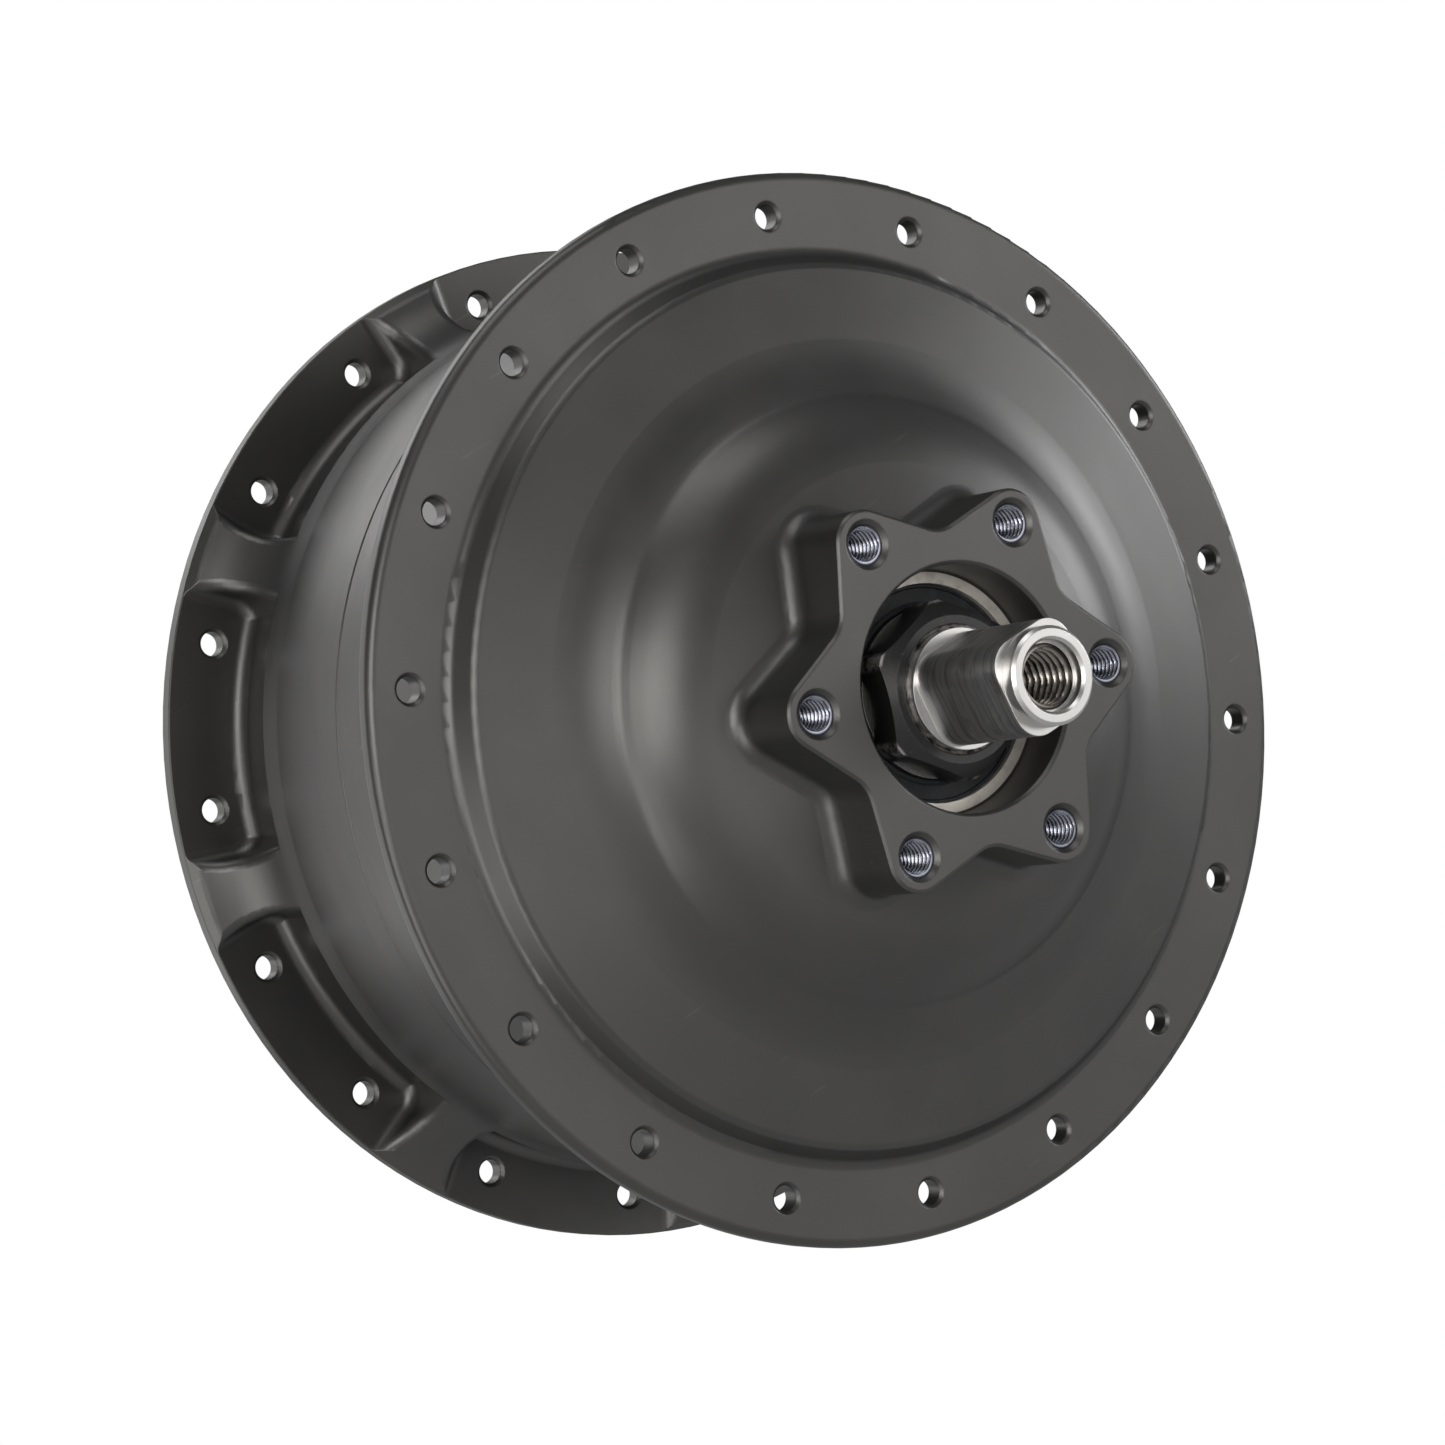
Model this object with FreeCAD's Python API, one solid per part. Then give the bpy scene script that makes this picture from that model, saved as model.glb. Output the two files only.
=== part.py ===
"""Stepless (ball-planetary) bicycle hub gear for a 148 mm frame, one STEP file per piece.

Millimetres. The hub axis is Y, the disc-brake side faces -Y and +Z is up. The origin is on the
axis, half way between the two dropouts. Angles round the axis run from +X towards +Z.
"""
import FreeCAD, Part
import math
import os

V = FreeCAD.Vector
AXIS = V(0, 1, 0)
ORIGIN = V(0, 0, 0)
TURN = 360.0

# --- Clearances -------------------------------------------------------------------------------
SEAT_GAP = 0.02            # a ring on or in its seat, within one body
RUNNING_GAP = 0.05         # radial, a shaft turning in its bore
FILM_GAP = 0.15            # traction fluid between a ball and its rings
FACE_GAP = 0.3             # axial, between faces that turn past each other
SLOT_GAP = 0.1             # each side of a ball axle in its stator slot

# --- Axle -------------------------------------------------------------------------------------
DROPOUT_WIDTH = 148.0      # over the two dropout faces
STUB_LENGTH = 2.1          # the centring stub beyond each dropout face
STUB_R = 6.0
FLAT_ACROSS = 12.2         # four-flat section that the dropouts hold
FLAT_CORNER_ROUND = 3.5
NUT_THREAD_R = 7.5
BEARING_SEAT_R = 8.5       # disc-side bearing, and all of the axle on the drive side
AXLE_R = 10.0              # under the stator and the idler
TIP_THREAD_R = 4.0
TIP_THREAD_DEPTH = 22.0
TIP_COUNTERBORE_R = 4.3
TIP_COUNTERBORE_DEPTH = 1.6
TIP_CHAMFER = 0.35
STUB_EDGE = 0.4
THREAD_RUNOUT = 1.0        # of the locknuts' thread beyond each nut

# --- Locknuts ---------------------------------------------------------------------------------
NUT_ACROSS = 20.0
NUT_CORNER_R = 11.2
NUT_THICKNESS = 5.5
NUT_FACE_R = 9.1
NUT_CHAMFER = 0.6
NUT_FACE_SLOPE = 30.0      # degrees, of the corners turned down
NUT_TURN = 13.4            # degrees, where tightening leaves the flats
DRIVE_NUT_THICKNESS = 5.2
WASHER_THICKNESS = 0.7

# --- Shell ------------------------------------------------------------------------------------
DRUM_R = 59.0
DRUM_BORE_R = DRUM_R - 5.0
SKIRT_WALL = 2.0           # the cover's skirt round the drum's spigot
SEAM_Y = -6.0              # where the skirt ends
DISC_FLANGE_WIDTH = 9.38   # beyond the drum
DISC_FLANGE_R = DRUM_R + DISC_FLANGE_WIDTH
DISC_FLANGE_Y = -32.8      # outer face
DISC_FLANGE_THICKNESS = 3.2
DRIVE_FLANGE_R = DRUM_R + 9.27
DRIVE_FLANGE_Y = 26.8      # outer face
DRIVE_FLANGE_THICKNESS = 3.0
SPOKE_CIRCLE_R = DRUM_R + 3.75
SPOKE_HOLE_R = 1.6
SPOKE_CHAMFER = 0.45
SPOKE_COUNT = 18
DISC_SPOKE_ANGLE = 10.0
DRIVE_SPOKE_ANGLE = 0.0
FLANGE_EDGE_ROUND = 1.2

# Cover: the dome's outer profile, as radius and distance out from the flange face
STEP_FOOT_R = DRUM_R - 1.2
STEP_FOOT_ROUND = 1.6
STEP_TOP_R = DRUM_R - 3.1
STEP_TOP_ROUND = 1.2
STEP_HEIGHT = 3.2
DOME_SWEEP_R = 42.5        # middle of the hollow sweep up to the crease
DOME_SWEEP_HEIGHT = 5.56
DOME_SWEEP_ROUND = 18.0
DOME_CREASE_R = 38.7
DOME_CREASE_HEIGHT = 8.03
DOME_CREASE_ROUND = 2.5
DOME_SHOULDER_R = 34.34
DOME_SHOULDER_HEIGHT = 12.84
DOME_SHOULDER_ROUND = 17.0
DOME_TOP_HEIGHT = 17.6
COVER_WALL = 3.6
COVER_INSET = 2.5          # of each inner corner from the outer one above it
SKIRT_ROOT_ROUND = 1.5
SEAM_EDGE = 0.3
BEARING_LIP = 1.4          # of the wall behind the disc-side bearing

# Disc mount
DISC_FACE_HEIGHT = 25.6    # the rotor's face, out from the flange face
DISC_BOLT_CIRCLE_R = 22.0
DISC_BOLT_COUNT = 6
DISC_BOLT_ANGLE = 40.0
DISC_BOLT_R = 2.5
DISC_BOLT_DEPTH = 10.5
DISC_BOLT_CHAMFER = 0.6
ARM_ROUND = 4.3
VALLEY_R = 19.6
VALLEY_ROUND = 4.5
STAR_FOOT_ROUND = 2.4
STAR_EDGE_CHAMFER = 0.35
DISC_BORE_R = 15.26

# Drum's pocketed flange
POCKET_COUNT = 9
POCKET_ANGLE = 30.0
POCKET_HALF_ANGLE = 15.8
POCKET_WALL_R = DRUM_R - 1.2
POCKET_LENGTH = 9.6
POCKET_CORNER_ROUND = 4.0
POCKET_FLOOR_ROUND = 1.8
RIB_EDGE_ROUND = 1.5
FLARE_START_Y = 11.0
FLARE_END_R = DRUM_R + 8.2
FLARE_END_HEIGHT = 1.1     # of the ribs at the rim, above the pocket floor
FLARE_SAG = 2.2
DRIVE_WALL = 3.3
DRIVE_FACE_DROP_R = DRUM_R - 1.0
DRIVE_BOSS_R = 37.5
DRIVE_BOSS_Y = 38.2
DRIVE_CONE_Y = 32.5

O_RING_R = 0.75
O_RING_GROOVE_WIDTH = 2.0
O_RING_GROOVE_DEPTH = 1.5
O_RING_FROM_SEAM = 5.0

# --- Bearings: bore radius, outer radius, width, ball radius, ball count ------------------------
DISC_BEARING = (BEARING_SEAT_R, 15.0, 7.0, 1.6, 14)
DRIVE_BEARING = (25.0, 32.5, 7.0, 2.2, 24)
DRIVER_BEARING = (12.5, 18.5, 7.0, 1.6, 18)
IDLER_BEARING = (AXLE_R, 16.0, 7.0, 1.6, 16)
DISC_BEARING_Y = -51.3     # outer face
DRIVE_BEARING_Y = 29.5
DRIVER_BEARING_Y = 20.0
BALL_PLAY = 0.1
RING_SHARE = 0.32          # of the radial section, each ring
CAGE_HALF_WALL = 0.45
CAGE_REACH = 1.2           # of the cage each side of the balls, in ball radii
CAGE_POCKET_LENGTH = 3.0
SEAL_THICKNESS = 0.8
SEAL_RECESS = 0.7
SEAL_RIM = 1.4             # of the outer ring's face, beyond the seal

# --- Planet balls -----------------------------------------------------------------------------
BALL_COUNT = 8
BALL_R = 12.7
BALL_PITCH_R = 36.0
BALL_Y = -6.0
BALL_AXLE_R = 2.0
BALL_AXLE_HALF = 24.0
TILT_LIMIT = 18.0          # degrees each way
SHIFT_LIMIT = 30.0         # degrees each way, of the iris plate
CONTACT_ANGLE = 45.0

# --- Traction rings and idler -------------------------------------------------------------------
RING_LENGTH = 8.6
RING_BORE_R = 43.9
RING_NOSE = 2.6            # of the cone beyond the contact line
INPUT_RING_R = DRUM_BORE_R - 0.6
IDLER_LENGTH = 16.0

# --- Stator, iris plate and shifter -------------------------------------------------------------
STATOR_R = 49.0
STATOR_THICKNESS = 3.0
STATOR_OFFSET = 16.5       # from the balls' plane to each plate's near face
IRIS_R = 48.8
IRIS_THICKNESS = 2.5
IRIS_SLOT_MARGIN = 0.65
PILLAR_R = 2.2
PILLAR_CIRCLE_R = 26.5
KEY_WIDTH = 4.0
KEY_HEIGHT = 3.0
SHIFT_TUBE_WALL = 1.45
SHIFT_TUBE_END_Y = 59.8
SHIFT_SPLINE_COUNT = 6
SHIFT_SPLINE_LENGTH = 3.2
SHIFT_SPLINE_WIDTH = 2.2
SHIFT_SPLINE_DEPTH = 0.7
SHIFT_PIN_LENGTH = 6.6
SHIFT_PIN_R = 1.1
SHIFT_PIN_COUNT = 3
SUPPORT_TUBE_END_Y = 57.2
CIRCLIP_THICKNESS = 1.0
CIRCLIP_PROUD = 1.8

# --- Driver, clutch and sprocket carrier --------------------------------------------------------
DRIVER_DISC_Y = 19.5
DRIVER_DISC_THICKNESS = 3.0
DRIVER_WALL = 3.5
DRIVER_HUB_END_Y = 37.5
CAM_ROLLER_R = 1.2
CAM_ROLLER_COUNT = 16
CLUTCH_ROLLER_R = 1.5
CLUTCH_ROLLER_COUNT = 12
CLUTCH_ROLLER_LENGTH = 6.5
CARRIER_NECK_R = 18.4
CARRIER_BORE_R = 15.0
CARRIER_START_Y = 28.4
SPROCKET_SEAT_R = 17.4
SPROCKET_SHOULDER_R = 20.0
SPROCKET_SHOULDER_Y = 42.5
SPROCKET_SHOULDER_WIDTH = 3.0
CARRIER_END_Y = 55.6
LUG_COUNT = 3
LUG_WIDTH = 5.0
LUG_DEPTH = 1.5
SNAP_GROOVE_WIDTH = 1.2    # for the ring that keeps a sprocket on
SNAP_GROOVE_FROM_END = 2.4
GROOVE_DEPTH = 0.8
BUSH_LENGTH = 7.0

# --- Worked out from the values above -----------------------------------------------------------
DROPOUT_Y = DROPOUT_WIDTH / 2
DISC_FACE_Y = DISC_FLANGE_Y - DISC_FACE_HEIGHT
SKIRT_BORE_R = DRUM_R - SKIRT_WALL
SPIGOT_R = SKIRT_BORE_R - SEAT_GAP
SPIGOT_END_Y = DISC_FLANGE_Y + DISC_FLANGE_THICKNESS + 0.9
POCKET_FLOOR_Y = DRIVE_FLANGE_Y - DRIVE_FLANGE_THICKNESS
CONTACT_R = BALL_PITCH_R + BALL_R * math.cos(math.radians(CONTACT_ANGLE))
CONTACT_OFFSET = BALL_R * math.sin(math.radians(CONTACT_ANGLE))
DISC_STATOR_Y = BALL_Y - STATOR_OFFSET - STATOR_THICKNESS
DRIVE_STATOR_Y = BALL_Y + STATOR_OFFSET
IRIS_Y = DRIVE_STATOR_Y + STATOR_THICKNESS + 0.5
SHIFT_BORE_R = BEARING_SEAT_R + RUNNING_GAP
SHIFT_TUBE_R = SHIFT_BORE_R + SHIFT_TUBE_WALL
SUPPORT_BORE_R = SHIFT_TUBE_R + RUNNING_GAP
SUPPORT_R = DRIVER_BEARING[0]
AXLE_SHOULDER_Y = DISC_BEARING_Y + DISC_BEARING[2]
DRIVE_STEP_Y = DRIVE_STATOR_Y - 1.0
DRIVER_HUB_R = DRIVE_BEARING[0]
CLUTCH_BORE_R = CARRIER_NECK_R + 2 * CLUTCH_ROLLER_R + RUNNING_GAP
CLUTCH_START_Y = DRIVER_BEARING_Y + DRIVER_BEARING[2] + 1.2
NUT_Y = DISC_BEARING_Y - NUT_THICKNESS
WASHER_Y = SHIFT_TUBE_END_Y + FACE_GAP
DRIVE_NUT_Y = WASHER_Y + WASHER_THICKNESS
BALL_ANGLES = [TURN / BALL_COUNT * k for k in range(BALL_COUNT)]


# --- Construction helpers -----------------------------------------------------------------------
def polar(radius, degrees, y=0.0):
    """Point at a radius and angle round the hub axis."""
    angle = math.radians(degrees)
    return V(radius * math.cos(angle), y, radius * math.sin(angle))


def turned(shape, degrees):
    """Copy of a shape turned round the hub axis, from +X towards +Z."""
    copy = shape.copy()
    copy.rotate(ORIGIN, AXIS, -degrees)
    return copy


def around(shape, count, first=0.0):
    """Copies of a shape spaced evenly round the hub axis."""
    return [turned(shape, first + TURN / count * k) for k in range(count)]


def rod(radius, y0, y1, centre=ORIGIN):
    """Cylinder along Y."""
    return Part.makeCylinder(radius, y1 - y0, V(centre.x, y0, centre.z), AXIS)


def ring(inner, outer, y0, y1):
    """Plain ring round the hub axis."""
    return rod(outer, y0, y1).cut(rod(inner, y0 - 1, y1 + 1))


def countersink(radius, depth, y, inward, centre=ORIGIN):
    """Cone that chamfers a hole's mouth; inward is +1 or -1 along Y."""
    return Part.makeCone(radius + depth + 0.1, radius - 0.1, depth + 0.2,
                         V(centre.x, y - 0.1 * inward, centre.z), V(0, inward, 0))


def rounded_wire(corners, place):
    """Closed wire through corners (a, b, round radius); place turns (a, b) into a point."""
    edges = []
    ends = []
    count = len(corners)
    for i in range(count):
        a, b, radius = corners[i]
        here = V(a, b, 0)
        before = V(corners[i - 1][0], corners[i - 1][1], 0) - here
        after = V(corners[(i + 1) % count][0], corners[(i + 1) % count][1], 0) - here
        if radius <= 0:
            ends.append((here, here))
            continue
        half = before.getAngle(after) / 2
        reach = radius / math.tan(half)
        before.normalize()
        after.normalize()
        middle = before + after
        middle.normalize()
        start = here + before * reach
        end = here + after * reach
        crown = here + middle * (radius / math.sin(half) - radius)
        ends.append((start, end))
        edges.append(Part.Arc(*[place(p.x, p.y) for p in (start, crown, end)]).toShape())
    for i in range(count):
        start = ends[i][1]
        end = ends[(i + 1) % count][0]
        if start.distanceToPoint(end) > 1e-6:
            edges.append(Part.makeLine(place(start.x, start.y), place(end.x, end.y)))
    return Part.Wire(Part.__sortEdges__(edges))


def lathe(corners):
    """Solid turned round the hub axis from corners (radius, y, round radius)."""
    wire = rounded_wire(corners, lambda a, b: V(a, b, 0))
    return Part.Face(wire).revolve(ORIGIN, AXIS, TURN)


def plate(wire, thickness):
    """Solid extruded along +Y from a wire that lies across the axis."""
    return Part.Face(wire).extrude(V(0, thickness, 0))


def fused(shapes):
    """One solid from touching shapes."""
    return shapes[0].fuse(shapes[1:]).removeSplitter()


def shaft_span(radius, y, length, inward):
    """Cylinder from a face into a shaft; inward is +1 or -1 along Y."""
    return rod(radius, min(y, y + inward * length), max(y, y + inward * length))


def hexagon(across, y0, y1, corner_r, angle=0.0):
    """Hexagonal prism along Y with its corners turned down."""
    corners = [polar(across / math.sqrt(3), angle + 60 * k, y0) for k in range(6)]
    prism = plate(Part.makePolygon(corners + corners[:1]), y1 - y0)
    return prism.common(rod(corner_r, y0, y1))


def four_flat(across, corner_round, y0, y1):
    """Bar along Y with four flats and rounded corners."""
    half = across / 2
    corners = [(a * half, b * half, corner_round) for a, b in ((1, 1), (-1, 1), (-1, -1), (1, -1))]
    return plate(rounded_wire(corners, lambda a, b: V(a, y0, b)), y1 - y0)


# --- Axle and its nuts --------------------------------------------------------------------------
def thread_hole(y, inward):
    """Tapped hole, counterbore and chamfer in one end of the axle."""
    bore = shaft_span(TIP_THREAD_R, y, TIP_THREAD_DEPTH, inward)
    mouth = shaft_span(TIP_COUNTERBORE_R, y, TIP_COUNTERBORE_DEPTH, inward)
    return bore.fuse([mouth, countersink(TIP_COUNTERBORE_R, TIP_CHAMFER, y, inward)])


def axle():
    """Stepped axle: stubs, four-flat ends, threads, seats and the key's flat."""
    tip = DROPOUT_Y + STUB_LENGTH
    stubs = lathe([(0, -tip, 0), (STUB_R - STUB_EDGE, -tip, 0), (STUB_R, -tip + STUB_EDGE, 0),
                   (STUB_R, tip - STUB_EDGE, 0), (STUB_R - STUB_EDGE, tip, 0), (0, tip, 0)])
    flats = four_flat(FLAT_ACROSS, FLAT_CORNER_ROUND, -DROPOUT_Y, DROPOUT_Y)
    thread_end = DRIVE_NUT_Y + DRIVE_NUT_THICKNESS + THREAD_RUNOUT
    thread = rod(NUT_THREAD_R - SEAT_GAP, NUT_Y - THREAD_RUNOUT, thread_end)
    seat = rod(BEARING_SEAT_R, DISC_BEARING_Y, WASHER_Y)
    barrel = rod(AXLE_R, AXLE_SHOULDER_Y, DRIVE_STEP_Y)
    body = fused([barrel, seat, thread, flats, stubs])
    holes = [thread_hole(-tip, 1), thread_hole(tip, -1)]
    return body.cut(holes + [key_block(SEAT_GAP)])


def key_block(gap=0.0):
    """Parallel key between the axle and the disc-side stator plate."""
    width = KEY_WIDTH + 2 * gap
    height = KEY_HEIGHT + 2 * gap
    return Part.makeBox(width, STATOR_THICKNESS + 2 * gap, height,
                        V(-width / 2, DISC_STATOR_Y - gap, AXLE_R - height / 2))


def locknut(y0, thickness, outward):
    """Hexagon nut with a turned face; outward is the side away from the hub."""
    y1 = y0 + thickness
    face = y0 if outward < 0 else y1
    back = y1 if outward < 0 else y0
    rim = NUT_CORNER_R + 1
    drop = (rim - NUT_FACE_R) * math.tan(math.radians(NUT_FACE_SLOPE))
    cone = lathe([(0, face, 0), (NUT_FACE_R, face, 0), (rim, face - outward * drop, 0),
                  (rim, back, 0), (0, back, 0)])
    body = hexagon(NUT_ACROSS, y0, y1, NUT_CORNER_R, NUT_TURN).common(cone)
    bore = rod(NUT_THREAD_R, y0 - 1, y1 + 1)
    return body.cut([bore, countersink(NUT_THREAD_R, NUT_CHAMFER, face, -outward)])


def drive_side_washer():
    """Thrust washer between the shift tube's end and the locknut."""
    return ring(NUT_THREAD_R + RUNNING_GAP, SHIFT_TUBE_R, WASHER_Y, WASHER_Y + WASHER_THICKNESS)


# --- Shell --------------------------------------------------------------------------------------
def star_outline():
    """Six-armed outline of the disc mount, each arm round its bolt hole, each valley rounded."""
    arm = V(DISC_BOLT_CIRCLE_R, 0, 0)
    pitch = TURN / DISC_BOLT_COUNT / 2
    valley_centre_r = VALLEY_R + VALLEY_ROUND
    valley = V(valley_centre_r * math.cos(math.radians(pitch)),
               valley_centre_r * math.sin(math.radians(pitch)), 0)
    gap = valley - arm
    side = math.atan2(gap.y, gap.x) + math.asin((ARM_ROUND + VALLEY_ROUND) / gap.Length)
    tip_r = DISC_BOLT_CIRCLE_R + ARM_ROUND / math.sin(math.pi - side)
    root_r = valley_centre_r - VALLEY_ROUND / math.sin(side - math.radians(pitch))
    corners = []
    for k in range(DISC_BOLT_COUNT):
        angle = DISC_BOLT_ANGLE + 2 * pitch * k
        for radius, turn, rounding in ((tip_r, angle, ARM_ROUND), (root_r, angle + pitch, VALLEY_ROUND)):
            point = polar(radius, turn)
            corners.append((point.x, point.z, rounding))
    return rounded_wire(corners, lambda a, b: V(a, DISC_FACE_Y, b))


def cover_turning():
    """Turned part of the cover: flange, step, dome, skirt and bearing seat."""
    face = DISC_FLANGE_Y
    back = face + DISC_FLANGE_THICKNESS
    seat_r = DISC_BEARING[1]
    seat_end = DISC_BEARING_Y + DISC_BEARING[2]
    inner_y = face + COVER_WALL
    root_y = SPIGOT_END_Y - FACE_GAP
    return lathe([
        (DISC_BORE_R, face - DOME_TOP_HEIGHT, 0),
        (DOME_SHOULDER_R, face - DOME_SHOULDER_HEIGHT, DOME_SHOULDER_ROUND),
        (DOME_CREASE_R, face - DOME_CREASE_HEIGHT, DOME_CREASE_ROUND),
        (DOME_SWEEP_R, face - DOME_SWEEP_HEIGHT, DOME_SWEEP_ROUND),
        (STEP_TOP_R, face - STEP_HEIGHT, STEP_TOP_ROUND),
        (STEP_FOOT_R, face, STEP_FOOT_ROUND),
        (DISC_FLANGE_R, face, FLANGE_EDGE_ROUND),
        (DISC_FLANGE_R, back, FLANGE_EDGE_ROUND),
        (DRUM_R, back, SKIRT_ROOT_ROUND),
        (DRUM_R, SEAM_Y, SEAM_EDGE),
        (SKIRT_BORE_R, SEAM_Y, SEAM_EDGE),
        (SKIRT_BORE_R, root_y, 0),
        (DRUM_BORE_R, root_y, 0),
        (STEP_TOP_R - COVER_INSET, inner_y - STEP_HEIGHT, 1.0),
        (DOME_CREASE_R - COVER_INSET, inner_y - DOME_CREASE_HEIGHT, 3.0),
        (DOME_SHOULDER_R - COVER_INSET, inner_y - DOME_SHOULDER_HEIGHT, 3.0),
        (seat_r - BEARING_LIP, inner_y - DOME_SHOULDER_HEIGHT, 0),
        (seat_r - BEARING_LIP, seat_end, 0),
        (seat_r + SEAT_GAP, seat_end, 0),
        (seat_r + SEAT_GAP, DISC_BEARING_Y, 0),
        (DISC_BORE_R, DISC_BEARING_Y - 0.3, 0),
    ])


def star_foot_edges(body):
    """Edges where the disc mount's walls meet the dome."""
    low = DISC_FLANGE_Y - DOME_TOP_HEIGHT - 1.0
    high = DISC_FLANGE_Y - DOME_SHOULDER_HEIGHT + 2.0
    found = []
    for edge in body.Edges:
        middle = edge.CenterOfMass
        radius = math.hypot(middle.x, middle.z)
        if low < middle.y < high and VALLEY_R - 1.5 < radius < DISC_BOLT_CIRCLE_R + ARM_ROUND + 1.5:
            found.append(edge)
    return found


def disc_mount_holes():
    """Six tapped holes with their chamfers."""
    centre = polar(DISC_BOLT_CIRCLE_R, 0)
    hole = rod(DISC_BOLT_R, DISC_FACE_Y - 1, DISC_FACE_Y + DISC_BOLT_DEPTH, centre)
    hole = hole.fuse(countersink(DISC_BOLT_R, DISC_BOLT_CHAMFER, DISC_FACE_Y, 1, centre))
    return around(hole, DISC_BOLT_COUNT, DISC_BOLT_ANGLE)


def spoke_holes(face_y, thickness, outward, first):
    """Chamfered spoke holes right through one flange."""
    centre = polar(SPOKE_CIRCLE_R, 0)
    y0 = face_y if outward < 0 else face_y - thickness
    hole = rod(SPOKE_HOLE_R, y0 - 1, y0 + thickness + 1, centre)
    near = countersink(SPOKE_HOLE_R, SPOKE_CHAMFER, y0, 1, centre)
    far = countersink(SPOKE_HOLE_R, SPOKE_CHAMFER, y0 + thickness, -1, centre)
    return around(hole.fuse([near, far]), SPOKE_COUNT, first)


def shell_cover():
    """Disc-side cover: dome, flange, skirt and six-armed disc mount, one machined piece."""
    star = plate(star_outline(), DISC_FACE_HEIGHT - DOME_SHOULDER_HEIGHT + 1.5)
    star = star.makeChamfer(STAR_EDGE_CHAMFER, [e for e in star.Edges
                                                if abs(e.BoundBox.YMax - DISC_FACE_Y) < 1e-4])
    star = star.cut(rod(DISC_BORE_R, DISC_FACE_Y - 1, DISC_FLANGE_Y))
    body = cover_turning().fuse(star)
    body = body.makeFillet(STAR_FOOT_ROUND, star_foot_edges(body))
    body = body.cut(countersink(DISC_BORE_R, 0.4, DISC_FACE_Y, 1))
    holes = spoke_holes(DISC_FLANGE_Y, DISC_FLANGE_THICKNESS, -1, DISC_SPOKE_ANGLE)
    return body.cut(disc_mount_holes() + holes)


def drum_profile():
    """Drum's section: spigot, wall, flared ribs, flange and drive-side end."""
    rib_y = POCKET_FLOOR_Y - FLARE_END_HEIGHT
    start = V(DRUM_R, FLARE_START_Y, 0)
    end = V(FLARE_END_R, rib_y, 0)
    middle = (start + end) * 0.5 + V(-1, 1, 0).normalize() * FLARE_SAG
    seat_r = DRIVE_BEARING[1] + SEAT_GAP
    seat_end = DRIVE_BEARING_Y + DRIVE_BEARING[2]
    inner_y = DRIVE_FLANGE_Y - DRIVE_WALL
    lip_r = DRIVE_BEARING[1] - 2.0
    edge = FLANGE_EDGE_ROUND
    slant = (DRIVE_CONE_Y - DRIVE_FLANGE_Y) / (DRIVE_FACE_DROP_R - DRIVE_BOSS_R)
    inner_cone_y = inner_y + slant * (DRUM_BORE_R - DRIVE_BOSS_R)
    points = [(FLARE_END_R, rib_y), (DRIVE_FLANGE_R, rib_y + edge), (DRIVE_FLANGE_R, DRIVE_FLANGE_Y - edge),
              (DRIVE_FLANGE_R - edge, DRIVE_FLANGE_Y), (DRIVE_FACE_DROP_R, DRIVE_FLANGE_Y),
              (DRIVE_BOSS_R, DRIVE_CONE_Y), (DRIVE_BOSS_R, DRIVE_BOSS_Y - 0.6),
              (DRIVE_BOSS_R - 0.6, DRIVE_BOSS_Y), (seat_r, DRIVE_BOSS_Y), (seat_r, DRIVE_BEARING_Y),
              (lip_r, DRIVE_BEARING_Y), (lip_r, inner_cone_y), (DRIVE_BOSS_R - 2.0, inner_cone_y),
              (DRUM_BORE_R, inner_y), (DRUM_BORE_R, SPIGOT_END_Y), (SPIGOT_R, SPIGOT_END_Y),
              (SPIGOT_R, SEAM_Y + 0.05), (DRUM_R - 0.2, SEAM_Y + 0.05), (DRUM_R, SEAM_Y + 0.25),
              (DRUM_R, FLARE_START_Y)]
    edges = [Part.Arc(start, middle, end).toShape()]
    corners = [V(r, y, 0) for r, y in points]
    for a, b in zip(corners, corners[1:]):
        edges.append(Part.makeLine(a, b))
    return Part.Face(Part.Wire(edges))


def pocket():
    """One pocket between two ribs of the drive-side flange, as the cutter leaves it."""
    start_y = POCKET_FLOOR_Y - POCKET_LENGTH
    reach = DRIVE_FLANGE_R + 6.0
    slope = math.radians(POCKET_HALF_ANGLE)
    near = (POCKET_WALL_R - 2.0, POCKET_WALL_R * math.tan(slope))
    far = (reach, reach * math.sin(slope))
    corners = [(near[0], -near[1], POCKET_CORNER_ROUND), (far[0], -far[1], 0),
               (far[0], far[1], 0), (near[0], near[1], POCKET_CORNER_ROUND)]
    block = plate(rounded_wire(corners, lambda a, b: V(a, start_y, b)), POCKET_LENGTH)
    block = block.cut(rod(POCKET_WALL_R, start_y - 1, POCKET_FLOOR_Y + 1))
    floor = [edge for edge in block.Edges if abs(edge.BoundBox.YMin - POCKET_FLOOR_Y) < 1e-4
             and math.hypot(edge.CenterOfMass.x, edge.CenterOfMass.z) < reach - 1.0]
    return block.makeFillet(POCKET_FLOOR_ROUND, floor)


def rib_edges(body):
    """Edges of the ribs between the pockets, from the drum out to the rim."""
    low, high = POCKET_FLOOR_Y - POCKET_LENGTH + 0.05, POCKET_FLOOR_Y - 0.5
    found = []
    for edge in body.Edges:
        middle = edge.CenterOfMass
        radius = math.hypot(middle.x, middle.z)
        if low < middle.y < high and DRUM_R < radius < FLARE_END_R + 1 and edge.Length > 3.0:
            found.append(edge)
    return found


def o_ring_y():
    """Middle of the cover's O-ring groove."""
    return SEAM_Y - O_RING_FROM_SEAM


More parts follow.
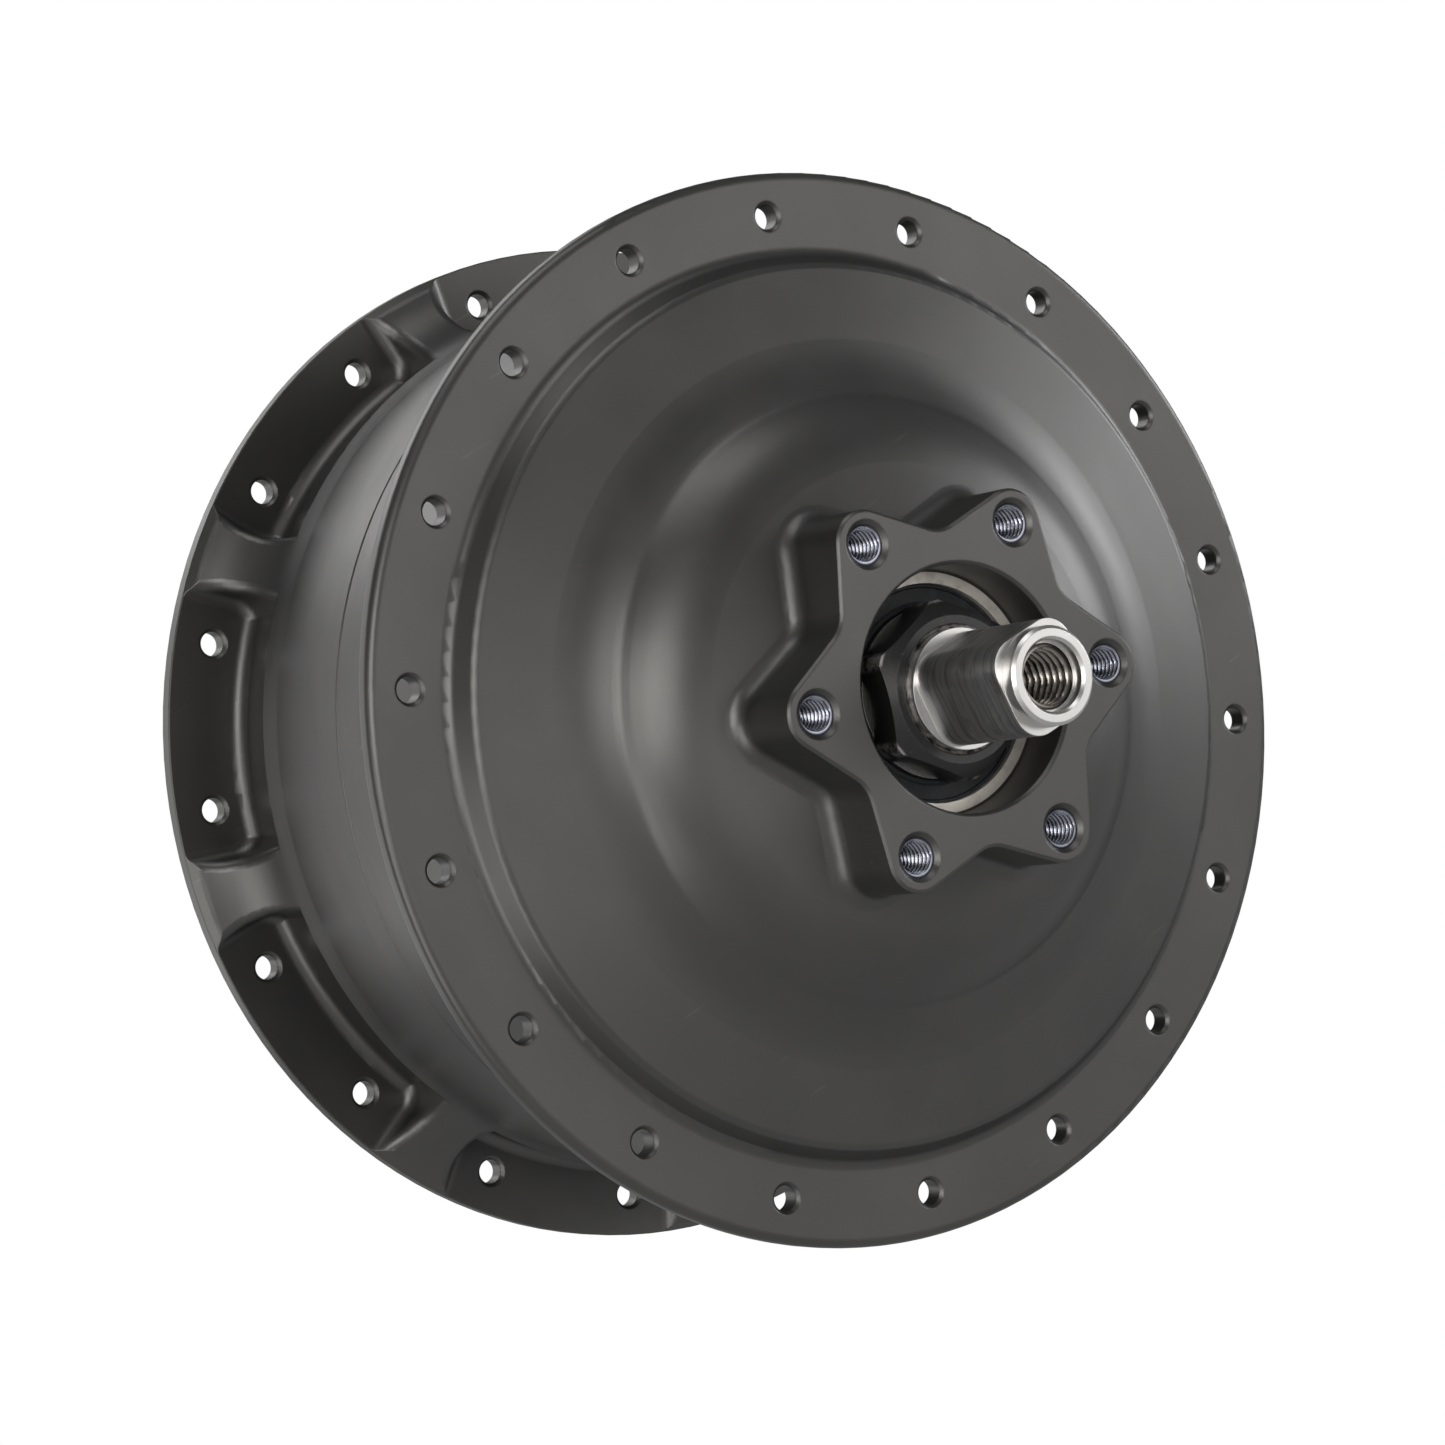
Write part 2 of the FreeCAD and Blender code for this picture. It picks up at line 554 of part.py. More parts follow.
def shell_drum():
    """Drum with its spigot, pocketed drive-side flange and bearing seat."""
    body = drum_profile().revolve(ORIGIN, AXIS, TURN).cut(around(pocket(), POCKET_COUNT, POCKET_ANGLE))
    body = body.makeFillet(RIB_EDGE_ROUND, rib_edges(body))
    holes = spoke_holes(DRIVE_FLANGE_Y, DRIVE_FLANGE_THICKNESS, 1, DRIVE_SPOKE_ANGLE)
    groove = ring(SPIGOT_R - O_RING_GROOVE_DEPTH, SPIGOT_R + 1, o_ring_y() - O_RING_GROOVE_WIDTH / 2,
                  o_ring_y() + O_RING_GROOVE_WIDTH / 2)
    return body.cut(holes + [groove])


def cover_o_ring():
    """Seal between the spigot and the cover's skirt."""
    return Part.makeTorus(SPIGOT_R - O_RING_GROOVE_DEPTH + O_RING_R + SEAT_GAP, O_RING_R,
                          V(0, o_ring_y(), 0), AXIS)


def drive_side_dust_cap():
    """Plastic cap in the shell's boss, round the sprocket carrier's neck."""
    y0 = DRIVE_BEARING_Y + DRIVE_BEARING[2] + FACE_GAP
    rim = DRIVE_BEARING[1] - SEAT_GAP
    return lathe([(CARRIER_NECK_R + FACE_GAP, DRIVER_HUB_END_Y + FACE_GAP, 0),
                  (DRIVER_HUB_R + 1.0, DRIVER_HUB_END_Y + FACE_GAP, 0),
                  (DRIVER_HUB_R + 1.0, y0 + 0.2, 0), (rim, y0 + 0.2, 0), (rim, DRIVE_BOSS_Y + 0.4, 0.6),
                  (CARRIER_NECK_R + FACE_GAP, DRIVE_BOSS_Y + 1.3, 0.4)])


# --- Bearings -----------------------------------------------------------------------------------
def seal_span(size, gap=0.0):
    """Inner and outer radius of a bearing's seal, with a gap at its outer edge."""
    bore, outer = size[:2]
    return bore + (outer - bore) * RING_SHARE + RUNNING_GAP, outer - SEAL_RIM - gap


def bearing(size, y0):
    """Deep-groove ball bearing as inner ring, outer ring and a group of balls with their cage."""
    bore, outer, width, ball_r, count = size
    section = (outer - bore) * RING_SHARE
    pitch = (bore + outer) / 2
    middle = y0 + width / 2
    groove = Part.makeTorus(pitch, ball_r + BALL_PLAY, V(0, middle, 0), AXIS)
    inner = ring(bore + SEAT_GAP, bore + section, y0, y0 + width).cut(groove)
    outer_ring = ring(outer - section, outer, y0, y0 + width).cut(groove)
    balls = [Part.makeSphere(ball_r, polar(pitch, TURN / count * k, middle)) for k in range(count)]
    pocket_hole = Part.makeCylinder(ball_r + RUNNING_GAP, CAGE_POCKET_LENGTH,
                                    V(pitch - CAGE_POCKET_LENGTH / 2, middle, 0), V(1, 0, 0))
    reach = ball_r * CAGE_REACH
    cage = ring(pitch - CAGE_HALF_WALL, pitch + CAGE_HALF_WALL, middle - reach, middle + reach)
    cage = cage.cut(around(pocket_hole, count))
    return inner, outer_ring, Part.makeCompound(balls + [cage])


def sealed_outer_ring(outer_ring, size, y0):
    """Outer ring with the step that its seal sits in."""
    inner, outer = seal_span(size)
    return outer_ring.cut(ring(inner, outer, y0 - 1, y0 + SEAL_RECESS + SEAL_THICKNESS + SEAT_GAP))


def bearing_seal(size, y0):
    """Rubber seal in the outer face of the disc-side bearing, running on its inner ring."""
    inner, outer = seal_span(size, SEAT_GAP)
    return ring(inner, outer, y0 + SEAL_RECESS, y0 + SEAL_RECESS + SEAL_THICKNESS)


# --- Planet balls -------------------------------------------------------------------------------
def planet_ball(angle):
    """Traction ball bored for its axle."""
    centre = polar(BALL_PITCH_R, angle, BALL_Y)
    bore = rod(BALL_AXLE_R + RUNNING_GAP, BALL_Y - BALL_R - 1, BALL_Y + BALL_R + 1, centre)
    return Part.makeSphere(BALL_R, centre).cut(bore)


def ball_axle(angle):
    """Axle through one ball, reaching both stator plates and the iris plate."""
    centre = polar(BALL_PITCH_R, angle)
    pin = rod(BALL_AXLE_R, BALL_Y - BALL_AXLE_HALF, BALL_Y + BALL_AXLE_HALF, centre)
    return pin.makeChamfer(0.3, [e for e in pin.Edges if e.Curve.TypeId == "Part::GeomCircle"])


def traction_ring(outer_r, side):
    """Ring that bears on the balls with a cone; side is +1 for the input, -1 for the output."""
    def at(radius, offset):
        return (radius, BALL_Y + side * offset, 0)
    cone_sum = BALL_PITCH_R + BALL_R * math.sqrt(2) + FILM_GAP * math.sqrt(2)
    nose_offset = CONTACT_OFFSET - RING_NOSE
    heel_r = RING_BORE_R
    back = CONTACT_OFFSET + RING_LENGTH - RING_NOSE
    return lathe([at(cone_sum - nose_offset, nose_offset), at(heel_r, cone_sum - heel_r),
                  at(heel_r, back), at(outer_r, back), at(outer_r, nose_offset)])


def idler_ring():
    """Sun idler that the balls bear on, over its two bearings."""
    inner = IDLER_BEARING[1] + SEAT_GAP
    outer = BALL_PITCH_R - BALL_R - FILM_GAP
    half = IDLER_LENGTH / 2
    return lathe([(inner, BALL_Y - half, 0), (outer, BALL_Y - half, 0.8), (outer, BALL_Y + half, 0.8),
                  (inner, BALL_Y + half, 0)])


def idler_spacers():
    """Two sleeves that hold the idler's bearings in the balls' plane."""
    width = IDLER_BEARING[2]
    wall = AXLE_R + 1.5
    near = ring(AXLE_R + SEAT_GAP, wall, DISC_STATOR_Y + STATOR_THICKNESS, BALL_Y - width)
    far = ring(AXLE_R + SEAT_GAP, wall, BALL_Y + width, DRIVE_STEP_Y)
    return Part.makeCompound([near, far])


# --- Stator, iris plate and shifter -------------------------------------------------------------
def stator_plate(y0, bore, keyed):
    """Plate with a radial slot for each ball axle and a hole for each pillar."""
    far = STATOR_OFFSET + STATOR_THICKNESS
    throw = far * math.tan(math.radians(TILT_LIMIT)) + BALL_AXLE_R / math.cos(math.radians(TILT_LIMIT))
    low = BALL_PITCH_R - throw - SLOT_GAP
    high = BALL_PITCH_R + throw + SLOT_GAP
    half = BALL_AXLE_R + SLOT_GAP
    middle = Part.makeBox(high - low - 2 * half, STATOR_THICKNESS + 2, 2 * half, V(low + half, y0 - 1, -half))
    ends = [rod(half, y0 - 1, y0 + STATOR_THICKNESS + 1, V(r, 0, 0)) for r in (low + half, high - half)]
    slots = around(middle.fuse(ends), BALL_COUNT)
    hole = rod(PILLAR_R, y0 - 1, y0 + STATOR_THICKNESS + 1, polar(PILLAR_CIRCLE_R, 0))
    cuts = slots + around(hole, BALL_COUNT, TURN / BALL_COUNT / 2)
    if keyed:
        cuts.append(key_block(SEAT_GAP))
    return ring(bore + SEAT_GAP, STATOR_R, y0, y0 + STATOR_THICKNESS).cut(cuts)


def stator_pillars():
    """Pillars that tie the two stator plates together between the balls."""
    end_y = DRIVE_STATOR_Y + STATOR_THICKNESS
    pin = rod(PILLAR_R - SEAT_GAP, DISC_STATOR_Y, end_y, polar(PILLAR_CIRCLE_R, 0))
    return Part.makeCompound(around(pin, BALL_COUNT, TURN / BALL_COUNT / 2))


def iris_radius(turn):
    """Distance of a ball axle from the hub axis, in the iris plate, at a turn of the plate."""
    reach = IRIS_Y + IRIS_THICKNESS / 2 - BALL_Y
    return BALL_PITCH_R + reach * math.tan(math.radians(turn * TILT_LIMIT / SHIFT_LIMIT))


def iris_slot():
    """Spiral slot that swings one ball axle in or out as the iris plate turns."""
    half = BALL_AXLE_R + IRIS_SLOT_MARGIN
    steps = 12
    centres = []
    for i in range(-1, steps + 2):
        turn = -SHIFT_LIMIT + 2 * SHIFT_LIMIT * i / steps
        centres.append(polar(iris_radius(turn), turn, IRIS_Y - 1))
    left = []
    right = []
    for i in range(1, steps + 2):
        along = centres[i + 1] - centres[i - 1]
        side = V(-along.z, 0, along.x).normalize() * half
        left.append(centres[i] + side)
        right.append(centres[i] - side)
    forward = (centres[-1] - centres[-2]).normalize() * half
    backward = (centres[0] - centres[1]).normalize() * half
    near = Part.BSplineCurve()
    near.interpolate(left)
    far = Part.BSplineCurve()
    far.interpolate(right)
    edges = [near.toShape(), Part.Arc(left[-1], centres[-2] + forward, right[-1]).toShape(),
             far.toShape(), Part.Arc(right[0], centres[1] + backward, left[0]).toShape()]
    return plate(Part.Wire(Part.__sortEdges__(edges)), IRIS_THICKNESS + 2)


def iris_plate():
    """Plate on the support tube whose spiral slots set the balls' tilt."""
    body = ring(SUPPORT_R + RUNNING_GAP, IRIS_R, IRIS_Y, IRIS_Y + IRIS_THICKNESS)
    hub = ring(SUPPORT_R + RUNNING_GAP, SUPPORT_R + 4.0, IRIS_Y, DRIVER_DISC_Y - FACE_GAP)
    slots = around(iris_slot(), BALL_COUNT)
    return fused([body, hub]).cut(slots + around(shift_pin(SEAT_GAP), SHIFT_PIN_COUNT))


def shift_pin(gap=0.0):
    """Radial pin that joins the shift tube to the iris plate through the support tube."""
    middle = IRIS_Y + IRIS_THICKNESS / 2
    start = V(SHIFT_BORE_R + 0.4, middle, 0)
    return Part.makeCylinder(SHIFT_PIN_R + gap, SHIFT_PIN_LENGTH, start, V(1, 0, 0))


def shift_pins():
    """The pins as a group."""
    return Part.makeCompound(around(shift_pin(), SHIFT_PIN_COUNT))


def shift_tube():
    """Tube on the axle that the shift interface turns by its splined end."""
    tube = ring(SHIFT_BORE_R, SHIFT_TUBE_R, DRIVE_STEP_Y + FACE_GAP, SHIFT_TUBE_END_Y)
    start_y = SHIFT_TUBE_END_Y - SHIFT_SPLINE_LENGTH
    corner = V(SHIFT_TUBE_R - SHIFT_SPLINE_DEPTH, start_y, -SHIFT_SPLINE_WIDTH / 2)
    notch = Part.makeBox(2.0, SHIFT_SPLINE_LENGTH + 1, SHIFT_SPLINE_WIDTH, corner)
    return tube.cut(around(notch, SHIFT_SPLINE_COUNT) + around(shift_pin(SEAT_GAP), SHIFT_PIN_COUNT))


def pin_window():
    """Slot in the support tube that lets a shift pin swing to both limits."""
    middle = IRIS_Y + IRIS_THICKNESS / 2
    height = SHIFT_PIN_R + SLOT_GAP
    half = SHIFT_LIMIT + math.degrees(math.asin(height / SUPPORT_BORE_R))
    low, high = SUPPORT_BORE_R - 1, SUPPORT_R + 1
    corners = [V(low, middle - height, 0), V(high, middle - height, 0),
               V(high, middle + height, 0), V(low, middle + height, 0)]
    face = Part.Face(Part.makePolygon(corners + corners[:1]))
    return turned(face.revolve(ORIGIN, AXIS, 2 * half), half)


def circlip_y():
    """Near face of the circlip on the support tube."""
    return CARRIER_END_Y + FACE_GAP


def support_tube():
    """Fixed tube from the drive-side stator plate that carries the driver and the carrier."""
    tube = ring(SUPPORT_BORE_R, SUPPORT_R, DRIVE_STATOR_Y, SUPPORT_TUBE_END_Y)
    groove = ring(SUPPORT_R - GROOVE_DEPTH, SUPPORT_R + 1, circlip_y(), circlip_y() + CIRCLIP_THICKNESS)
    return tube.cut(around(pin_window(), SHIFT_PIN_COUNT) + [groove])


def circlip(seat_r, y0, thickness, proud):
    """Open spring ring in a shaft's groove."""
    body = ring(seat_r - GROOVE_DEPTH + SEAT_GAP, seat_r + proud, y0 + SEAT_GAP, y0 + thickness - SEAT_GAP)
    return body.cut(Part.makeBox(seat_r + proud + 1, thickness + 2, 5.0, V(0, y0 - 1, -2.5)))


# --- Driver, clutch and sprocket carrier --------------------------------------------------------
def cam_ring_end_y():
    """Back face of the input ring, where the cam rollers bear."""
    return BALL_Y + CONTACT_OFFSET + RING_LENGTH - RING_NOSE


def driver_wall_start_y():
    """Near end of the driver's wall, beyond the cam rollers."""
    return cam_ring_end_y() + 2 * CAM_ROLLER_R + 2 * RUNNING_GAP


def input_driver():
    """Cup that carries the torque from the clutch out round the stator to the input ring."""
    wall_r = INPUT_RING_R
    disc_end = DRIVER_DISC_Y + DRIVER_DISC_THICKNESS
    seat_r = DRIVER_BEARING[1] + SEAT_GAP
    seat_end = DRIVER_BEARING_Y + DRIVER_BEARING[2]
    shoulder_y = DRIVE_BEARING_Y - SEAT_GAP
    return lathe([
        (seat_r, DRIVER_DISC_Y, 0), (wall_r - DRIVER_WALL, DRIVER_DISC_Y, 1.0),
        (wall_r - DRIVER_WALL, driver_wall_start_y(), 0), (wall_r, driver_wall_start_y(), 0),
        (wall_r, disc_end, 0.8), (DRIVER_HUB_R + 3.0, disc_end, 1.0),
        (DRIVER_HUB_R + 3.0, shoulder_y, 0), (DRIVER_HUB_R, shoulder_y, 0),
        (DRIVER_HUB_R, DRIVER_HUB_END_Y, 0.4), (CLUTCH_BORE_R, DRIVER_HUB_END_Y, 0.4),
        (CLUTCH_BORE_R, CLUTCH_START_Y, 0), (seat_r - 1.5, CLUTCH_START_Y, 0),
        (seat_r - 1.5, seat_end, 0), (seat_r, seat_end, 0)])


def cam_rollers():
    """Rollers that load the input ring against the balls in step with the torque."""
    inner = INPUT_RING_R - DRIVER_WALL + 0.2
    roller = Part.makeCylinder(CAM_ROLLER_R, DRIVER_WALL - 0.4,
                               V(inner, cam_ring_end_y() + CAM_ROLLER_R + RUNNING_GAP, 0), V(1, 0, 0))
    return Part.makeCompound(around(roller, CAM_ROLLER_COUNT))


def clutch_rollers():
    """Rollers of the one-way clutch between the driver and the sprocket carrier."""
    y0 = CLUTCH_START_Y + 1.0
    centre = V(CLUTCH_BORE_R - CLUTCH_ROLLER_R, 0, 0)
    roller = rod(CLUTCH_ROLLER_R - SEAT_GAP / 2, y0, y0 + CLUTCH_ROLLER_LENGTH, centre)
    return Part.makeCompound(around(roller, CLUTCH_ROLLER_COUNT))


def sprocket_carrier():
    """Splined carrier that a sprocket slides on, running on the support tube."""
    shoulder_end = SPROCKET_SHOULDER_Y + SPROCKET_SHOULDER_WIDTH
    body = lathe([(CARRIER_BORE_R, CARRIER_START_Y, 0), (CARRIER_NECK_R, CARRIER_START_Y, 0.3),
                  (CARRIER_NECK_R, SPROCKET_SHOULDER_Y, 0), (SPROCKET_SHOULDER_R, SPROCKET_SHOULDER_Y, 0.5),
                  (SPROCKET_SHOULDER_R, shoulder_end, 0.5), (SPROCKET_SEAT_R, shoulder_end, 0),
                  (SPROCKET_SEAT_R, CARRIER_END_Y, 0.5), (CARRIER_BORE_R, CARRIER_END_Y, 0.3)])
    lug = Part.makeBox(3.0, CARRIER_END_Y - shoulder_end + 1, LUG_WIDTH,
                       V(SPROCKET_SEAT_R - LUG_DEPTH, shoulder_end, -LUG_WIDTH / 2))
    end_y = CARRIER_END_Y - SNAP_GROOVE_FROM_END
    groove = ring(SPROCKET_SEAT_R - GROOVE_DEPTH, SPROCKET_SEAT_R + 1, end_y - SNAP_GROOVE_WIDTH, end_y)
    return body.cut(around(lug, LUG_COUNT, 90.0) + [groove])


def carrier_bushes():
    """Two plain bushes pressed into the sprocket carrier."""
    starts = (CARRIER_START_Y + 0.5, CARRIER_END_Y - BUSH_LENGTH - 0.5)
    rings = [ring(SUPPORT_R + RUNNING_GAP, CARRIER_BORE_R - SEAT_GAP, y, y + BUSH_LENGTH) for y in starts]
    return Part.makeCompound(rings)


# --- Pieces -------------------------------------------------------------------------------------
def pieces():
    """Every node's name with its shape."""
    disc_inner, disc_outer, disc_balls = bearing(DISC_BEARING, DISC_BEARING_Y)
    drive_inner, drive_outer, drive_balls = bearing(DRIVE_BEARING, DRIVE_BEARING_Y)
    driver_inner, driver_outer, driver_balls = bearing(DRIVER_BEARING, DRIVER_BEARING_Y)
    idler_pairs = [bearing(IDLER_BEARING, BALL_Y - IDLER_BEARING[2]), bearing(IDLER_BEARING, BALL_Y)]
    found = {
        "axle": axle(),
        "disc_side_locknut": locknut(NUT_Y, NUT_THICKNESS, -1),
        "drive_side_locknut": locknut(DRIVE_NUT_Y, DRIVE_NUT_THICKNESS, 1),
        "drive_side_washer": drive_side_washer(),
        "shell_cover": shell_cover(),
        "shell_drum": shell_drum(),
        "cover_o_ring": cover_o_ring(),
        "drive_side_dust_cap": drive_side_dust_cap(),
        "disc_bearing_inner_ring": disc_inner,
        "disc_bearing_outer_ring": sealed_outer_ring(disc_outer, DISC_BEARING, DISC_BEARING_Y),
        "disc_bearing_balls": disc_balls,
        "disc_bearing_seal": bearing_seal(DISC_BEARING, DISC_BEARING_Y),
        "drive_bearing_inner_ring": drive_inner,
        "drive_bearing_outer_ring": drive_outer,
        "drive_bearing_balls": drive_balls,
        "driver_bearing_inner_ring": driver_inner,
        "driver_bearing_outer_ring": driver_outer,
        "driver_bearing_balls": driver_balls,
        "idler_bearing_inner_rings": Part.makeCompound([pair[0] for pair in idler_pairs]),
        "idler_bearing_outer_rings": Part.makeCompound([pair[1] for pair in idler_pairs]),
        "idler_bearing_balls": Part.makeCompound([solid for pair in idler_pairs for solid in pair[2].Solids]),
        "idler_ring": idler_ring(),
        "idler_spacers": idler_spacers(),
        "input_ring": traction_ring(INPUT_RING_R, 1),
        "output_ring": traction_ring(DRUM_BORE_R - SEAT_GAP, -1),
        "stator_plate_disc_side": stator_plate(DISC_STATOR_Y, AXLE_R, True),
        "stator_plate_drive_side": stator_plate(DRIVE_STATOR_Y, SUPPORT_R, False),
        "stator_pillars": stator_pillars(),
        "stator_key": key_block(),
        "iris_plate": iris_plate(),
        "shift_pins": shift_pins(),
        "shift_tube": shift_tube(),
        "support_tube": support_tube(),
        "support_circlip": circlip(SUPPORT_R, circlip_y(), CIRCLIP_THICKNESS, CIRCLIP_PROUD),
        "input_driver": input_driver(),
        "cam_rollers": cam_rollers(),
        "clutch_rollers": clutch_rollers(),
        "sprocket_carrier": sprocket_carrier(),
        "carrier_bushes": carrier_bushes(),
    }
    for k, angle in enumerate(BALL_ANGLES, 1):
        found["planet_ball_%d" % k] = planet_ball(angle)
        found["ball_axle_%d" % k] = ball_axle(angle)
    return found


def main():
    """Write one STEP file per piece."""
    os.makedirs("parts", exist_ok=True)
    for name, shape in pieces().items():
        shape.exportStep("parts/%s.step" % name)
        print(name, len(shape.Solids), round(shape.Volume, 1), shape.isValid())


main()
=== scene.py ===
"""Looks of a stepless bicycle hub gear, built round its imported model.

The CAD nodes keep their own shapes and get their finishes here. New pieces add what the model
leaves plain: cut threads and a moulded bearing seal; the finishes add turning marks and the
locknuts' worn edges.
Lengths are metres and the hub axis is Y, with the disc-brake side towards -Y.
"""

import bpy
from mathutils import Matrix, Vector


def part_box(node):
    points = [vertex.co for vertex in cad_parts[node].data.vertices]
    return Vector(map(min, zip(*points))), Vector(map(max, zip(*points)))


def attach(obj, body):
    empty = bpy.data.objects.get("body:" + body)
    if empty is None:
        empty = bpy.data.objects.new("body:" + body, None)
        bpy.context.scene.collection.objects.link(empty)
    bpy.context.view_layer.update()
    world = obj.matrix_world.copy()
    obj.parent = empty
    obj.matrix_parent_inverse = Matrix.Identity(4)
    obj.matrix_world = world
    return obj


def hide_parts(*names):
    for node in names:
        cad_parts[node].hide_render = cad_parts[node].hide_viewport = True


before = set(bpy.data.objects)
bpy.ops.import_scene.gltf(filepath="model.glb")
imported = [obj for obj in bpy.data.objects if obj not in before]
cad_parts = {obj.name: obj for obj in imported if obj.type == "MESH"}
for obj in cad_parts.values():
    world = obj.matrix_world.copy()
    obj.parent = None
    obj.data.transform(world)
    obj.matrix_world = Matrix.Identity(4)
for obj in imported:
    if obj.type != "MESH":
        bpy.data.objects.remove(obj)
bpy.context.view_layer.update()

import logging
import math
from dataclasses import dataclass
from enum import Enum
from typing import Any, Sequence, Union

import bmesh
import bpy
import numpy as np
from mathutils import Matrix, Quaternion, Vector

LOG = logging.getLogger("hub_gear")
MM = 0.001
PER_METRE = 1000.0
TAU = 2.0 * math.pi
WHITE = (1.0, 1.0, 1.0, 1.0)
THREAD_SMOOTH_DEGREES = 28.0
CREST = "crest"    # attribute of a thread's mesh: 1 on its ridge, 0 in its root

Colour = tuple[float, float, float]
Number = Union[float, "Signal"]


# --- Shader maths -----------------------------------------------------------------------------
class Signal:
    """A shader output that arithmetic can be written on, one Math node per operation."""

    def __init__(self, sheet: "NodeSheet", socket: bpy.types.NodeSocket) -> None:
        """Wrap a socket of a sheet's node tree."""
        self.sheet = sheet
        self.socket = socket

    def __add__(self, other: Number) -> "Signal":
        """Sum."""
        return self.sheet.maths("ADD", self, other)

    __radd__ = __add__

    def __mul__(self, other: Number) -> "Signal":
        """Product."""
        return self.sheet.maths("MULTIPLY", self, other)

    __rmul__ = __mul__

    def __sub__(self, other: Number) -> "Signal":
        """Difference."""
        return self.sheet.maths("SUBTRACT", self, other)

    def __rsub__(self, other: Number) -> "Signal":
        """Difference, reflected."""
        return self.sheet.maths("SUBTRACT", other, self)

    def __truediv__(self, other: Number) -> "Signal":
        """Quotient."""
        return self.sheet.maths("DIVIDE", self, other)

    def __pow__(self, other: Number) -> "Signal":
        """Power."""
        return self.sheet.maths("POWER", self, other)

    def size(self) -> "Signal":
        """Absolute value."""
        return self.sheet.maths("ABSOLUTE", self)

    def sine(self) -> "Signal":
        """Sine of an angle in radians."""
        return self.sheet.maths("SINE", self)

    def ramp(self, low: float, high: float) -> "Signal":
        """Smooth step from 0 at low to 1 at high; it falls if high is below low.

        Args:
            low: value where the result is 0.
            high: value where the result is 1.

        Returns:
            The stepped signal.
        """
        settings = {"interpolation_type": "SMOOTHSTEP"}
        if low < high:
            return self.sheet.output("ShaderNodeMapRange", "Result", settings,
                                     {"Value": self, "From Min": low, "From Max": high})
        return 1.0 - self.ramp(high, low)


class NodeSheet:
    """One node tree, to which nodes and sums of signals are added."""

    def __init__(self, tree: bpy.types.NodeTree) -> None:
        """Start on a tree, emptied."""
        self.tree = tree
        self.tree.nodes.clear()

    def node(self, kind: str, settings: dict[str, Any] | None = None,
             sockets: dict[Any, Any] | None = None) -> bpy.types.Node:
        """Add a node, set its settings first, then the values or links of its sockets.

        Args:
            kind: the node's type name.
            settings: attributes of the node.
            sockets: value, Signal or socket for each input, by name or number.

        Returns:
            The new node.
        """
        made = self.tree.nodes.new(kind)
        for key, value in (settings or {}).items():
            setattr(made, key, value)
        for key, value in (sockets or {}).items():
            if isinstance(value, Signal):
                value = value.socket
            if isinstance(value, bpy.types.NodeSocket):
                self.tree.links.new(value, made.inputs[key])
            else:
                made.inputs[key].default_value = value
        return made

    def output(self, kind: str, output: str | int, settings: dict[str, Any] | None = None,
               sockets: dict[Any, Any] | None = None) -> Signal:
        """One output of a new node, as a Signal.

        Args:
            kind: the node's type name.
            output: name or number of the output.
            settings: attributes of the node.
            sockets: value, Signal or socket for each input.

        Returns:
            The output.
        """
        return Signal(self, self.node(kind, settings, sockets).outputs[output])

    def maths(self, operation: str, first: Number, second: Number | None = None) -> Signal:
        """One Math node.

        Args:
            operation: the node's operation.
            first: first operand.
            second: second operand, where the operation takes two.

        Returns:
            The result.
        """
        sockets: dict[Any, Any] = {0: first}
        if second is not None:
            sockets[1] = second
        return self.output("ShaderNodeMath", 0, {"operation": operation}, sockets)


